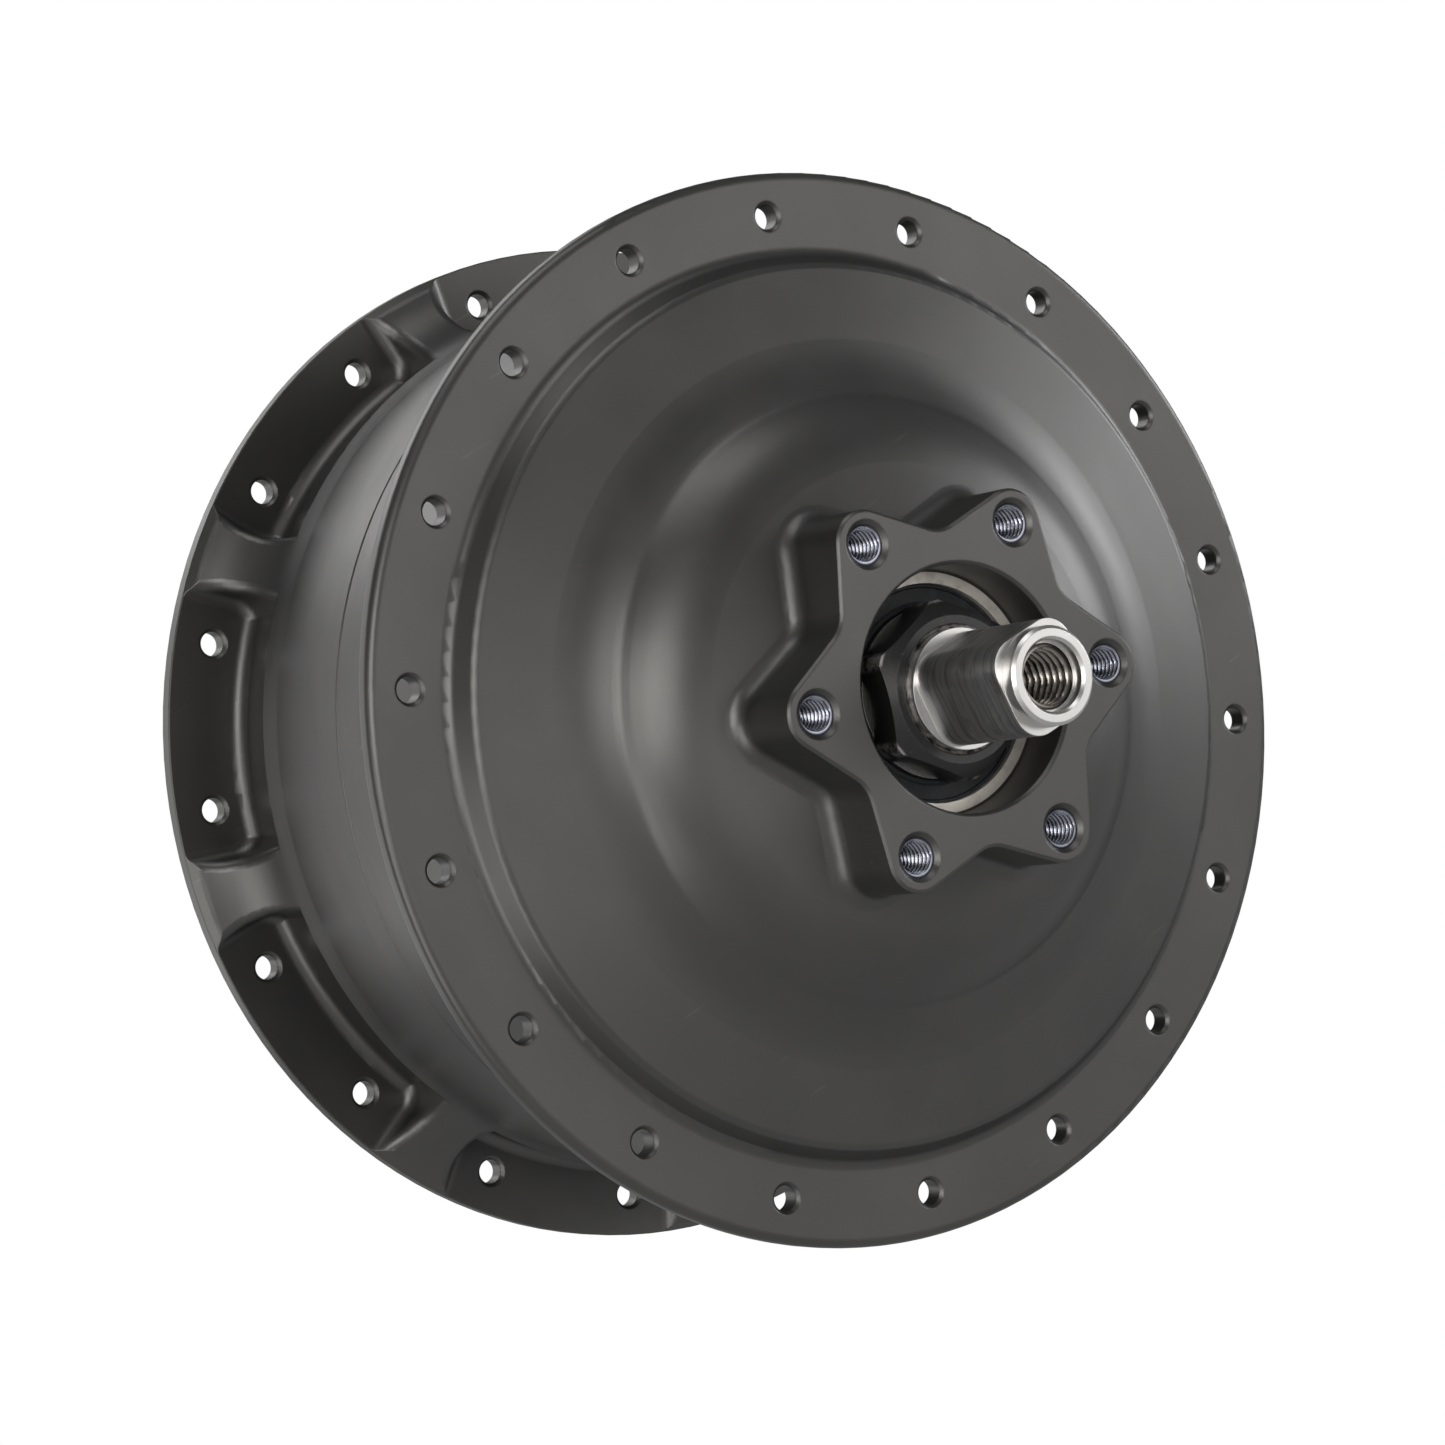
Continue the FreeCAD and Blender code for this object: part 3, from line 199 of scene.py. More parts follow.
class FinishSheet(NodeSheet):
    """One material's node tree, with the few nodes that the finishes share."""

    def __init__(self, name: str) -> None:
        """Start an empty material of that name."""
        self.material = bpy.data.materials.new(name)
        self.material.use_nodes = True
        super().__init__(self.material.node_tree)

    def place(self) -> bpy.types.NodeSocket:
        """Object coordinates, in metres."""
        return self.node("ShaderNodeTexCoord").outputs["Object"]

    def parts(self, vector: bpy.types.NodeSocket) -> tuple[Signal, Signal, Signal]:
        """A vector's three components, in millimetres.

        Args:
            vector: vector in metres.

        Returns:
            Its x, y and z.
        """
        split = self.node("ShaderNodeSeparateXYZ", None, {0: vector})
        x, y, z = (Signal(self, split.outputs[i]) * PER_METRE for i in range(3))
        return x, y, z

    def normal_parts(self) -> tuple[Signal, Signal, Signal]:
        """Components of the surface normal in the piece's own frame.

        Returns:
            Its x, y and z, from -1 to 1.
        """
        split = self.node("ShaderNodeSeparateXYZ", None,
                          {0: self.node("ShaderNodeTexCoord").outputs["Normal"]})
        x, y, z = (Signal(self, split.outputs[i]) for i in range(3))
        return x, y, z

    def noise(self, per_mm: float, detail: float = 2.0, stretch: Sequence[float] = (1, 1, 1),
              rough: float = 0.5) -> Signal:
        """Noise from 0 to 1 on object coordinates.

        Args:
            per_mm: how many features to a millimetre.
            detail: octaves of finer noise.
            stretch: extra scale along each axis.
            rough: weight of the finer octaves.

        Returns:
            The noise signal.
        """
        scaled = self.node("ShaderNodeVectorMath", {"operation": "MULTIPLY"},
                           {0: self.place(), 1: tuple(PER_METRE * per_mm * s for s in stretch)})
        return self.output("ShaderNodeTexNoise", "Fac", {"noise_dimensions": "3D"}, {
            "Vector": scaled.outputs[0], "Scale": 1.0, "Detail": detail, "Roughness": rough})

    def mix(self, share: Number, first: Any, second: Any) -> bpy.types.NodeSocket:
        """Blend two colours.

        Args:
            share: share of the second colour, from 0 to 1.
            first: colour or socket.
            second: colour or socket.

        Returns:
            The blended colour.
        """
        sockets = {"Factor": share, 6: self.paint(first), 7: self.paint(second)}
        node = self.node("ShaderNodeMix", {"data_type": "RGBA", "clamp_factor": True}, sockets)
        return node.outputs[2]

    @staticmethod
    def paint(value: Any) -> Any:
        """A colour as a socket takes it."""
        return (*value, 1.0) if isinstance(value, tuple) and len(value) == 3 else value

    def soft_edges(self, radius: float) -> bpy.types.NodeSocket:
        """Normal that rounds every sharp edge by a small radius."""
        return self.node("ShaderNodeBevel", {"samples": 6}, {"Radius": radius}).outputs[0]

    def relief(self, height: Signal, depth: float, normal: bpy.types.NodeSocket
               ) -> bpy.types.NodeSocket:
        """Bump from a height signal, over the normal below it.

        Args:
            height: height as a share of the depth.
            depth: depth in metres.
            normal: normal that the relief lies on.

        Returns:
            The new normal.
        """
        sockets = {"Strength": 1.0, "Distance": depth, "Height": height, "Normal": normal}
        return self.node("ShaderNodeBump", None, sockets).outputs[0]

    def finish(self, colour: Any, roughness: Number, metallic: float,
               normal: bpy.types.NodeSocket | None = None, specular: float = 0.5
               ) -> bpy.types.Material:
        """Close the tree with a Principled shader.

        Args:
            colour: base colour, a constant or a socket.
            roughness: constant or Signal.
            metallic: constant metalness.
            normal: normal socket, or none for the mesh's own.
            specular: dielectric reflectance level.

        Returns:
            The finished material.
        """
        sockets = {"Base Color": self.paint(colour), "Roughness": roughness, "Metallic": metallic,
                   "Specular IOR Level": specular}
        if normal is not None:
            sockets["Normal"] = normal
        shader = self.node("ShaderNodeBsdfPrincipled", None, sockets)
        self.node("ShaderNodeOutputMaterial", None, {"Surface": shader.outputs[0]})
        return self.material


# --- Finishes ---------------------------------------------------------------------------------
@dataclass(frozen=True)
class AnodisedShell:
    """Dark anodised aluminium over a fine blast, with faint lathe rings and handling marks."""

    name: str = "anodised_shell"
    colour: Colour = (0.110, 0.108, 0.106)
    worn_colour: Colour = (0.155, 0.151, 0.147)
    scratch_colour: Colour = (0.28, 0.27, 0.26)
    roughness: float = 0.39
    metallic: float = 0.88
    blast_depth: float = 0.006 * MM
    ring_depth: float = 0.0012 * MM
    ring_pitch_mm: float = 0.22
    edge_radius: float = 0.26 * MM

    def material(self) -> bpy.types.Material:
        """The finish as a material."""
        sheet = FinishSheet(self.name)
        x, _, z = sheet.parts(sheet.place())
        radius = (x * x + z * z) ** 0.5
        rings = (radius * (TAU / self.ring_pitch_mm)).sine() * sheet.noise(0.05).ramp(0.35, 0.7)
        cloud = sheet.noise(0.035, 4.0, rough=0.6)
        smear = sheet.noise(0.16, 3.0, (1.0, 2.5, 0.4))
        scratch = sheet.noise(0.9, 1.0, (0.12, 0.5, 1.6)).ramp(0.735, 0.76)
        scratch = scratch * sheet.noise(0.06).ramp(0.5, 0.62)
        speck = sheet.noise(2.2, 0.0).ramp(0.83, 0.87)
        base = sheet.mix(cloud.ramp(0.35, 0.75) * 0.35, self.colour, self.worn_colour)
        base = sheet.mix(scratch * 0.16 + speck * 0.08, base, self.scratch_colour)
        rough = self.roughness + (cloud - 0.5) * 0.10 + (smear - 0.5) * 0.10
        normal = sheet.soft_edges(self.edge_radius)
        normal = sheet.relief(sheet.noise(5.0, 2.0), self.blast_depth, normal)
        normal = sheet.relief(rings, self.ring_depth, normal)
        return sheet.finish(base, rough, self.metallic, normal)


@dataclass(frozen=True)
class AxleSteel:
    """Turned steel with milled flats: bright at the shoulders and tips, browned between them."""

    name: str = "axle_steel"
    bright: Colour = (0.70, 0.69, 0.675)
    dark: Colour = (0.54, 0.54, 0.55)
    streak: Colour = (0.68, 0.68, 0.68)
    groove: Colour = (0.20, 0.20, 0.21)
    stain: Colour = (0.105, 0.095, 0.085)
    nick: Colour = (0.62, 0.61, 0.60)
    stub_start_mm: float = 73.9
    flat_start_mm: float = 57.9
    line_pitch_mm: float = 0.16
    arc_pitch_mm: float = 0.42
    arc_centre_mm: float = 96.0
    edge_radius: float = 0.12 * MM
    cut_depth: float = 0.0035 * MM
    streak_depth: float = 0.003 * MM

    def material(self) -> bpy.types.Material:
        """The finish as a material."""
        sheet = FinishSheet(self.name)
        x, y, z = sheet.parts(sheet.place())
        nx, ny, nz = sheet.normal_parts()
        along = y.size()
        flat = nx.size().ramp(0.97, 0.995) + nz.size().ramp(0.97, 0.995)
        flat = flat * along.ramp(self.flat_start_mm - 0.9, self.flat_start_mm + 0.1)
        side = x * nz.size() + z * nx.size()
        arc = (side * side + (along - self.arc_centre_mm) ** 2.0) ** 0.5 * (TAU / self.arc_pitch_mm)
        lines = (y * (TAU / self.line_pitch_mm) + sheet.noise(0.4) * 6.0).sine()
        cut = arc.sine() * flat + lines * (1.0 - flat) * 0.6
        streak = sheet.noise(1.0, 3.0, (0.35, 3.0, 0.35))
        stain = sheet.noise(0.28, 3.0)
        shoulder = along.ramp(self.stub_start_mm - 0.6, self.stub_start_mm)
        collar = along.ramp(self.flat_start_mm + 0.9, self.flat_start_mm + 0.2)
        face = ny.size().ramp(0.7, 0.95)
        bright = (shoulder + collar + face).ramp(0.0, 1.0)
        nick = sheet.noise(1.4, 1.0, (0.5, 1.6, 0.5)).ramp(0.74, 0.78) * (1.0 - bright)
        turned = sheet.noise(2.6, 2.0, (0.04, 1.0, 0.04))
        dark = sheet.mix(streak.ramp(0.3, 0.75), self.dark, self.streak)
        dark = sheet.mix(turned.ramp(0.48, 0.66) * 0.55, dark, self.groove)
        dark = sheet.mix(stain.ramp(0.55, 0.8) * 0.55, dark, self.stain)
        base = sheet.mix(bright * (1.0 - stain.ramp(0.6, 0.85) * 0.25), dark, self.bright)
        base = sheet.mix(nick, base, self.nick)
        rough = 0.34 - bright * 0.04 + (streak - 0.5) * 0.10
        normal = sheet.soft_edges(self.edge_radius)
        normal = sheet.relief(cut * (1.0 - bright * 0.8), self.cut_depth, normal)
        normal = sheet.relief(streak * (1.0 - bright), self.streak_depth, normal)
        return sheet.finish(base, rough, 1.0, normal)


@dataclass(frozen=True)
class WornBlackOxide:
    """Black-oxide steel that shows bare metal along a nut's corners and turned face."""

    name: str = "black_oxide"
    colour: Colour = (0.055, 0.054, 0.054)
    bare: Colour = (0.50, 0.49, 0.48)
    corner_radius_mm: float = 10.75
    face_radius_mm: float = 9.1
    throat_radius_mm: float = 8.15
    lathe_pitch_mm: float = 0.18
    lathe_depth: float = 0.0015 * MM
    grain_depth: float = 0.004 * MM
    edge_radius: float = 0.12 * MM

    def material(self) -> bpy.types.Material:
        """The finish as a material."""
        sheet = FinishSheet(self.name)
        x, _, z = sheet.parts(sheet.place())
        radius = (x * x + z * z) ** 0.5
        patch = sheet.noise(0.9, 3.0)
        corner = radius.ramp(self.corner_radius_mm, self.corner_radius_mm + 0.35)
        rim = 1.0 - (radius - self.face_radius_mm).size().ramp(0.05, 0.32)
        throat = radius.ramp(self.throat_radius_mm, self.throat_radius_mm - 0.4)
        wear = (corner * 0.8 + rim * 0.08 + throat * 0.9) * patch.ramp(0.3, 0.62)
        rub = sheet.noise(2.4, 2.0, (1.0, 0.4, 1.0)).ramp(0.6, 0.85) * 0.22
        base = sheet.mix((wear + rub).ramp(0.0, 1.0), self.colour, self.bare)
        lathe = (radius * (TAU / self.lathe_pitch_mm)).sine()
        rough = 0.33 + (patch - 0.5) * 0.2
        normal = sheet.relief(lathe, self.lathe_depth, sheet.soft_edges(self.edge_radius))
        normal = sheet.relief(sheet.noise(3.0), self.grain_depth, normal)
        return sheet.finish(base, rough, 0.85, normal)


@dataclass(frozen=True)
class GroundSteel:
    """Bare ring or shaft steel with fine turning lines and a few oil stains."""

    name: str
    colour: Colour
    roughness: float
    stain: float = 0.3
    line_pitch_mm: float = 0.12
    line_depth: float = 0.001 * MM
    metallic: float = 1.0
    edge_radius: float = 0.08 * MM
    stain_share: float = 0.35

    def material(self) -> bpy.types.Material:
        """The finish as a material."""
        sheet = FinishSheet(self.name)
        x, y, z = sheet.parts(sheet.place())
        radius = (x * x + z * z) ** 0.5
        cloud = sheet.noise(0.35, 4.0, rough=0.6)
        dim = tuple(self.stain_share * c for c in self.colour)
        base = sheet.mix(cloud.ramp(0.45, 0.8) * self.stain, self.colour, dim)
        lines = ((radius + y) * (TAU / self.line_pitch_mm)).sine()
        rough = self.roughness + (cloud - 0.5) * 0.18
        normal = sheet.relief(lines, self.line_depth, sheet.soft_edges(self.edge_radius))
        return sheet.finish(base, rough, self.metallic, normal)


@dataclass(frozen=True)
class ThreadSteel:
    """Cut thread: the metal's own colour on its crests, near-black painted shade in its roots, and
    random oily patches that darken the crests.
    """

    name: str
    crest: Colour
    # colour of the thread's roots: painted shade in the recesses
    root: Colour
    wet: float = 0.3

    def material(self) -> bpy.types.Material:
        """The finish as a material."""
        sheet = FinishSheet(self.name)
        crest = sheet.output("ShaderNodeAttribute", "Fac", {"attribute_name": CREST})
        patch = sheet.noise(0.8, 3.0)
        share = crest.ramp(0.25, 0.85) * (1.0 - patch.ramp(0.5, 0.75) * self.wet)
        # the roots get the near-black root colour as painted shade; random oily patches pull the
        # crests towards it
        base = sheet.mix(share, self.root, self.crest)
        return sheet.finish(base, 0.30 - patch * 0.12, 0.9)


@dataclass(frozen=True)
class MouldedBlack:
    """Moulded rubber or plastic with a fine grain and dusty patches."""

    name: str
    colour: Colour
    dust: Colour
    roughness: float
    grain_per_mm: float = 6.0
    grain_depth: float = 0.008 * MM
    edge_radius: float = 0.1 * MM

    def material(self) -> bpy.types.Material:
        """The finish as a material."""
        sheet = FinishSheet(self.name)
        cloud = sheet.noise(0.5, 4.0, rough=0.6)
        base = sheet.mix(cloud.ramp(0.45, 0.8) * 0.6, self.colour, self.dust)
        rough = self.roughness + (cloud - 0.5) * 0.15
        grain = sheet.noise(self.grain_per_mm, 2.0)
        normal = sheet.relief(grain, self.grain_depth, sheet.soft_edges(self.edge_radius))
        return sheet.finish(base, rough, 0.0, normal, specular=0.4)


class Finish(Enum):
    """Every finish on the hub."""

    SHELL = AnodisedShell()
    AXLE = AxleSteel()
    OXIDE = WornBlackOxide()
    BEARING = GroundSteel("bearing_steel", (0.56, 0.55, 0.53), 0.24)
    BEARING_FACE = GroundSteel("rubbed_bearing_face", (0.80, 0.75, 0.68), 0.42, 0.6, 0.3,
                               0.003 * MM, 0.45)
    BALL = GroundSteel("ball_steel", (0.68, 0.68, 0.69), 0.12, 0.1, 0.3, 0.0002 * MM)
    RING = GroundSteel("traction_ring_steel", (0.46, 0.45, 0.44), 0.22, 0.25)
    HARD = GroundSteel("hardened_steel", (0.27, 0.265, 0.26), 0.32, 0.4)
    BRIGHT = GroundSteel("bright_steel", (0.60, 0.59, 0.57), 0.27, 0.25)
    SPRING = GroundSteel("spring_steel", (0.13, 0.13, 0.14), 0.36, 0.3)
    PLATE = GroundSteel("machined_aluminium", (0.58, 0.58, 0.59), 0.36, 0.15, 0.25)
    BRONZE = GroundSteel("oiled_bronze", (0.50, 0.33, 0.14), 0.34, 0.5)
    # the dark second colour of each thread is painted shade in its roots
    THREAD = ThreadSteel("cut_thread", (0.46, 0.48, 0.56), (0.020, 0.021, 0.026))
    STEEL_THREAD = ThreadSteel("oily_thread_root_shade", (0.36, 0.33, 0.30), (0.030, 0.026, 0.022), 0.8)
    RUBBER = MouldedBlack("nitrile_rubber", (0.018, 0.020, 0.023), (0.050, 0.053, 0.058), 0.55)
    PLASTIC = MouldedBlack("black_plastic", (0.016, 0.016, 0.016), (0.035, 0.034, 0.033), 0.48)


class FinishShelf:
    """Makes each material once and puts it on pieces."""

    def __init__(self) -> None:
        """Start with nothing mixed."""
        self.ready: dict[Finish, bpy.types.Material] = {}

    def dress(self, piece: bpy.types.Object, finish: Finish) -> None:
        """Give a piece one finish.

        Args:
            piece: CAD node or new piece.
            finish: which finish.
        """
        if finish not in self.ready:
            self.ready[finish] = finish.value.material()
        piece.data.materials.clear()
        piece.data.materials.append(self.ready[finish])

    def dress_all(self, finishes: dict[str, Finish]) -> None:
        """Give each CAD node, by name, its finish."""
        for node, finish in finishes.items():
            self.dress(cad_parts[node], finish)


# --- Grid meshes ------------------------------------------------------------------------------
def grid_piece(name: str, points: np.ndarray, closed_rows: bool, closed_columns: bool,
               smooth_degrees: float = 35.0) -> bpy.types.Object:
    """Mesh from a grid of points, its quads joining neighbours along both directions.

    Args:
        name: the piece's name.
        points: rows x columns x 3 array, in metres.
        closed_rows: join the last row to the first.
        closed_columns: join the last column to the first.
        smooth_degrees: edges sharper than this stay sharp.

    Returns:
        The new object, with its faces outwards.
    """
    rows, columns = points.shape[:2]
    i = np.arange(rows if closed_rows else rows - 1)[:, None]
    j = np.arange(columns if closed_columns else columns - 1)[None, :]
    below, right = (i + 1) % rows, (j + 1) % columns
    corners = [i * columns + j, i * columns + right, below * columns + right, below * columns + j]
    quads = np.stack(corners, -1).reshape(-1, 4)
    mesh = bpy.data.meshes.new(name)
    mesh.vertices.add(rows * columns)
    mesh.vertices.foreach_set("co", points.astype(np.float32).ravel())
    mesh.loops.add(quads.size)
    mesh.loops.foreach_set("vertex_index", quads.astype(np.int32).ravel())
    mesh.polygons.add(len(quads))
    mesh.polygons.foreach_set("loop_start", np.arange(0, quads.size, 4, dtype=np.int32))
    mesh.update(calc_edges=True)
    mesh.validate()
    work = bmesh.new()
    work.from_mesh(mesh)
    bmesh.ops.recalc_face_normals(work, faces=work.faces)
    work.to_mesh(mesh)
    work.free()
    mesh.shade_smooth()
    mesh.set_sharp_from_angle(angle=math.radians(smooth_degrees))
    piece = bpy.data.objects.new(name, mesh)
    bpy.context.scene.collection.objects.link(piece)
    return piece


def turned_piece(name: str, profile: Sequence[tuple[float, float]], steps: int
                 ) -> bpy.types.Object:
    """Ring turned round the hub axis: each profile point, its radius times a circle, at its y.

    Args:
        name: the piece's name.
        profile: closed outline of (radius, y), in millimetres.
        steps: points round the axis.

    Returns:
        The new object.
    """
    radius, y = (np.array(profile) * MM).T[:, None, :]
    angle = np.linspace(0.0, TAU, steps, endpoint=False)[:, None]
    height = np.broadcast_to(y, (steps, y.shape[1]))
    points = np.stack([radius * np.cos(angle), height, radius * np.sin(angle)], -1)
    return grid_piece(name, points, True, True)


def joined(name: str, pieces: Sequence[bpy.types.Object]) -> bpy.types.Object:
    """Several meshes as one piece.

    Args:
        name: the joined piece's name.
        pieces: objects to join; the first one stays.

    Returns:
        The joined object.
    """
    first = pieces[0]
    with bpy.context.temp_override(active_object=first, selected_editable_objects=list(pieces)):
        bpy.ops.object.join()
    first.name = name
    first.data.name = name
    return first


@dataclass
class CutThread:
    """Internal thread as a thin threaded sleeve in a plain bore."""

    major_mm: float
    pitch_mm: float
    start_mm: float
    end_mm: float
    around: int = 40
    per_turn: int = 8
    sleeve_mm: float = 0.015
    depth_share: float = 0.5413
    root_gap_mm: float = 0.01
    crest_flat: float = 0.125
    flank: float = 0.625

    def grid(self, centre: tuple[float, float] = (0.0, 0.0)) -> tuple[np.ndarray, np.ndarray]:
        """Points of the sleeve: its radius is the major radius less a ridge along a helix.

        The ridge rises in a straight flank with the distance from the root, as a share of half a
        pitch, and is flat on its crest.

        Args:
            centre: x and z of the bore's axis, in millimetres.

        Returns:
            Grid of points in metres, closed both ways, and each point's height on the ridge.
        """
        depth = self.depth_share * self.pitch_mm
        turns = (self.end_mm - self.start_mm) / self.pitch_mm
        along = np.linspace(self.start_mm, self.end_mm, int(turns * self.per_turn) + 1)
        angle = np.linspace(0.0, TAU, self.around, endpoint=False)[:, None]
        phase = (along[None, :] / self.pitch_mm - angle / TAU) % 1.0
        ridge = np.clip((np.abs(2.0 * phase - 1.0) - self.crest_flat) / self.flank, 0.0, 1.0)
        inner = self.major_mm - self.root_gap_mm - depth * ridge
        outer = np.full((self.around, 2), self.major_mm + self.sleeve_mm)
        radius = np.concatenate([inner, outer], 1)
        y = np.concatenate([np.broadcast_to(along, inner.shape),
                            np.broadcast_to(along[[-1, 0]], outer.shape)], 1)
        x = centre[0] + radius * np.cos(angle)
        z = centre[1] + radius * np.sin(angle)
        return np.stack([x, y, z], -1) * MM, np.concatenate([ridge, np.zeros_like(outer)], 1)

    def piece(self, name: str, centre: tuple[float, float] = (0.0, 0.0)) -> bpy.types.Object:
        """The sleeve as a closed mesh that carries the ridge's height as its crest attribute.

        Args:
            name: the piece's name.
            centre: x and z of the bore's axis, in millimetres.

        Returns:
            The new object.
        """
        points, crest = self.grid(centre)
        piece = grid_piece(name, points, True, True, THREAD_SMOOTH_DEGREES)
        height = piece.data.attributes.new(CREST, "FLOAT", "POINT")
        height.data.foreach_set("value", crest.astype(np.float32).ravel())
        return piece


# --- Sub-assemblies ---------------------------------------------------------------------------
@dataclass
class Shell:
    """The turning shell: cover, drum, rotor threads, bearing seal and dust cap."""

    shelf: FinishShelf
    body: str = "hub_shell"
    bolt_circle_mm: float = 22.0
    bolt_count: int = 6
    bolt_angle: float = 40.0
    bolt_radius_mm: float = 2.5
    bolt_pitch_mm: float = 0.8
    bolt_depth_mm: float = 10.2
    chamfer_mm: float = 0.62
    lip_gap_mm: float = 0.05
    dish_mm: float = 0.26
    seal_steps: int = 160

    def dress(self) -> None:
        """Finish the CAD nodes of the shell."""
        self.shelf.dress_all({
            "shell_cover": Finish.SHELL, "shell_drum": Finish.SHELL, "output_ring": Finish.RING,
            "disc_bearing_outer_ring": Finish.BEARING_FACE, "cover_o_ring": Finish.RUBBER,
            "drive_bearing_outer_ring": Finish.BEARING, "drive_side_dust_cap": Finish.PLASTIC,
        })

    def rotor_threads(self) -> bpy.types.Object:
        """Threads of the six rotor holes, as one piece.

        Returns:
            The new object.
        """
        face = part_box("shell_cover")[0].y / MM
        thread = CutThread(self.bolt_radius_mm, self.bolt_pitch_mm, face + self.chamfer_mm,
                           face + self.bolt_depth_mm)
        made = []
        for k in range(self.bolt_count):
            angle = math.radians(self.bolt_angle + 360.0 / self.bolt_count * k)
            x, z = self.bolt_circle_mm * math.cos(angle), self.bolt_circle_mm * math.sin(angle)
            made.append(thread.piece("rotor_thread_%d" % k, (x, z)))
        piece = joined("rotor_threads", made)
        self.shelf.dress(piece, Finish.THREAD)
        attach(piece, self.body)
        return piece

    def seal(self) -> bpy.types.Object:
        """Moulded seal of the disc-side bearing: a dished face between a rolled rim and a lip.

        Returns:
            The new object.
        """
        low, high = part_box("disc_bearing_seal")
        face, back = low.y / MM, high.y / MM
        outer = high.x / MM
        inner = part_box("disc_bearing_inner_ring")[1].x / MM + self.lip_gap_mm
        rim = [(0.0, 0.08), (-0.10, 0.0), (-0.34, 0.0), (-0.44, 0.10), (-0.52, self.dish_mm)]
        lip = [(0.75, self.dish_mm), (0.60, 0.12), (0.20, 0.06), (0.0, 0.16)]
        profile = [(outer, back), *((outer + dr, face + dy) for dr, dy in rim),
                   *((inner + dr, face + dy) for dr, dy in lip), (inner, back)]
        piece = turned_piece("bearing_seal_moulding", profile, self.seal_steps)
        self.shelf.dress(piece, Finish.RUBBER)
        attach(piece, self.body)
        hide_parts("disc_bearing_seal")
        return piece


@dataclass
class AxleGroup:
    """What stands still in the frame: axle, locknuts, stator and their threads."""

    shelf: FinishShelf
    body: str = "frame_side"
    thread_radius_mm: float = 4.0
    thread_pitch_mm: float = 1.25
    counterbore_mm: float = 1.65
    thread_depth_mm: float = 21.5
    steps_around: int = 48
    steps_per_turn: int = 10

    def dress(self) -> None:
        """Finish the CAD nodes of the axle group."""
        self.shelf.dress_all({
            "axle": Finish.AXLE, "disc_side_locknut": Finish.OXIDE,
            "drive_side_locknut": Finish.OXIDE, "drive_side_washer": Finish.BRIGHT,
            "support_circlip": Finish.SPRING, "support_tube": Finish.HARD,
            "stator_plate_disc_side": Finish.PLATE, "stator_plate_drive_side": Finish.PLATE,
            "stator_pillars": Finish.HARD, "stator_key": Finish.HARD, "idler_spacers": Finish.PLATE,
            "disc_bearing_inner_ring": Finish.BEARING, "driver_bearing_inner_ring": Finish.BEARING,
            "idler_bearing_inner_rings": Finish.BEARING,
        })

    def tip_threads(self) -> bpy.types.Object:
        """Frame-bolt threads in both ends of the axle, as one piece.

        Returns:
            The new object.
        """
        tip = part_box("axle")[1].y / MM
        near, far = tip - self.thread_depth_mm, tip - self.counterbore_mm
        spans = {"thread_far": (near, far), "thread_near": (-far, -near)}
        made = [CutThread(self.thread_radius_mm, self.thread_pitch_mm, start, end,
                          self.steps_around, self.steps_per_turn).piece(name)
                for name, (start, end) in spans.items()]
        piece = joined("axle_threads", made)
        self.shelf.dress(piece, Finish.STEEL_THREAD)
        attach(piece, self.body)
        return piece


@dataclass
class DriveGroup:
    """Driver, clutch, carrier, shifter and idler: everything between the sprocket and the balls."""

    shelf: FinishShelf

    def dress(self) -> None:
        """Finish the CAD nodes of the drive side."""
        self.shelf.dress_all({
            "input_driver": Finish.HARD, "input_ring": Finish.RING, "cam_rollers": Finish.BEARING,
            "clutch_rollers": Finish.BEARING, "drive_bearing_inner_ring": Finish.BEARING,
            "driver_bearing_outer_ring": Finish.BEARING, "sprocket_carrier": Finish.HARD,
            "carrier_bushes": Finish.BRONZE, "idler_ring": Finish.RING,
            "idler_bearing_outer_rings": Finish.BEARING,
            "shift_tube": Finish.BRIGHT, "shift_pins": Finish.BEARING, "iris_plate": Finish.HARD,
        })


@dataclass
class RollingSet:
    """Traction balls, their axles and the balls of the bearings."""

    shelf: FinishShelf

    def dress(self) -> None:
        """Finish every rolling node."""
        for node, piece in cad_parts.items():
            if node.startswith("planet_ball") or node.endswith("bearing_balls"):
                self.shelf.dress(piece, Finish.BALL)
            elif node.startswith("ball_axle"):
                self.shelf.dress(piece, Finish.BEARING)


# --- Studio -----------------------------------------------------------------------------------
def direction_at(azimuth: float, elevation: float) -> Vector:
    """Unit vector from the hub towards a direction in degrees; azimuth 0 is -Y, and 90 is +X."""
    a, e = math.radians(azimuth), math.radians(elevation)
    return Vector((math.sin(a) * math.cos(e), -math.cos(a) * math.cos(e), math.sin(e)))


@dataclass
class StudioCamera:
    """Camera given by its direction from the hub, its roll and the lens."""

    azimuth: float = -30.667
    elevation: float = 11.270
    roll: float = -26.624
    distance: float = 0.518373
    offset_right: float = 0.016081
    offset_up: float = 0.002186
    aim_y: float = -0.0328
    lens: float = 101.845
    sensor: float = 36.0

    def place(self) -> bpy.types.Object:
        """Put the camera in the scene and make it the active one.

        Returns:
            The camera.
        """
        turn, t = math.radians(self.azimuth), math.radians(self.roll)
        back = direction_at(self.azimuth, self.elevation)
        level = Vector((math.cos(turn), math.sin(turn), 0.0))
        upright = back.cross(level)
        right = level * math.cos(t) + upright * math.sin(t)
        up = upright * math.cos(t) - level * math.sin(t)
        data = bpy.data.cameras.new("studio_camera")
        data.lens = self.lens
        data.sensor_width = self.sensor
        data.clip_start = 0.01
        data.clip_end = 50.0
        camera = bpy.data.objects.new("studio_camera", data)
        aim = Vector((0.0, self.aim_y, 0.0)) - right * self.offset_right - up * self.offset_up
        axes = Matrix((right, up, back)).transposed().to_4x4()
        camera.matrix_world = Matrix.Translation(aim + back * self.distance) @ axes
        bpy.context.scene.collection.objects.link(camera)
        bpy.context.scene.camera = camera
        return camera


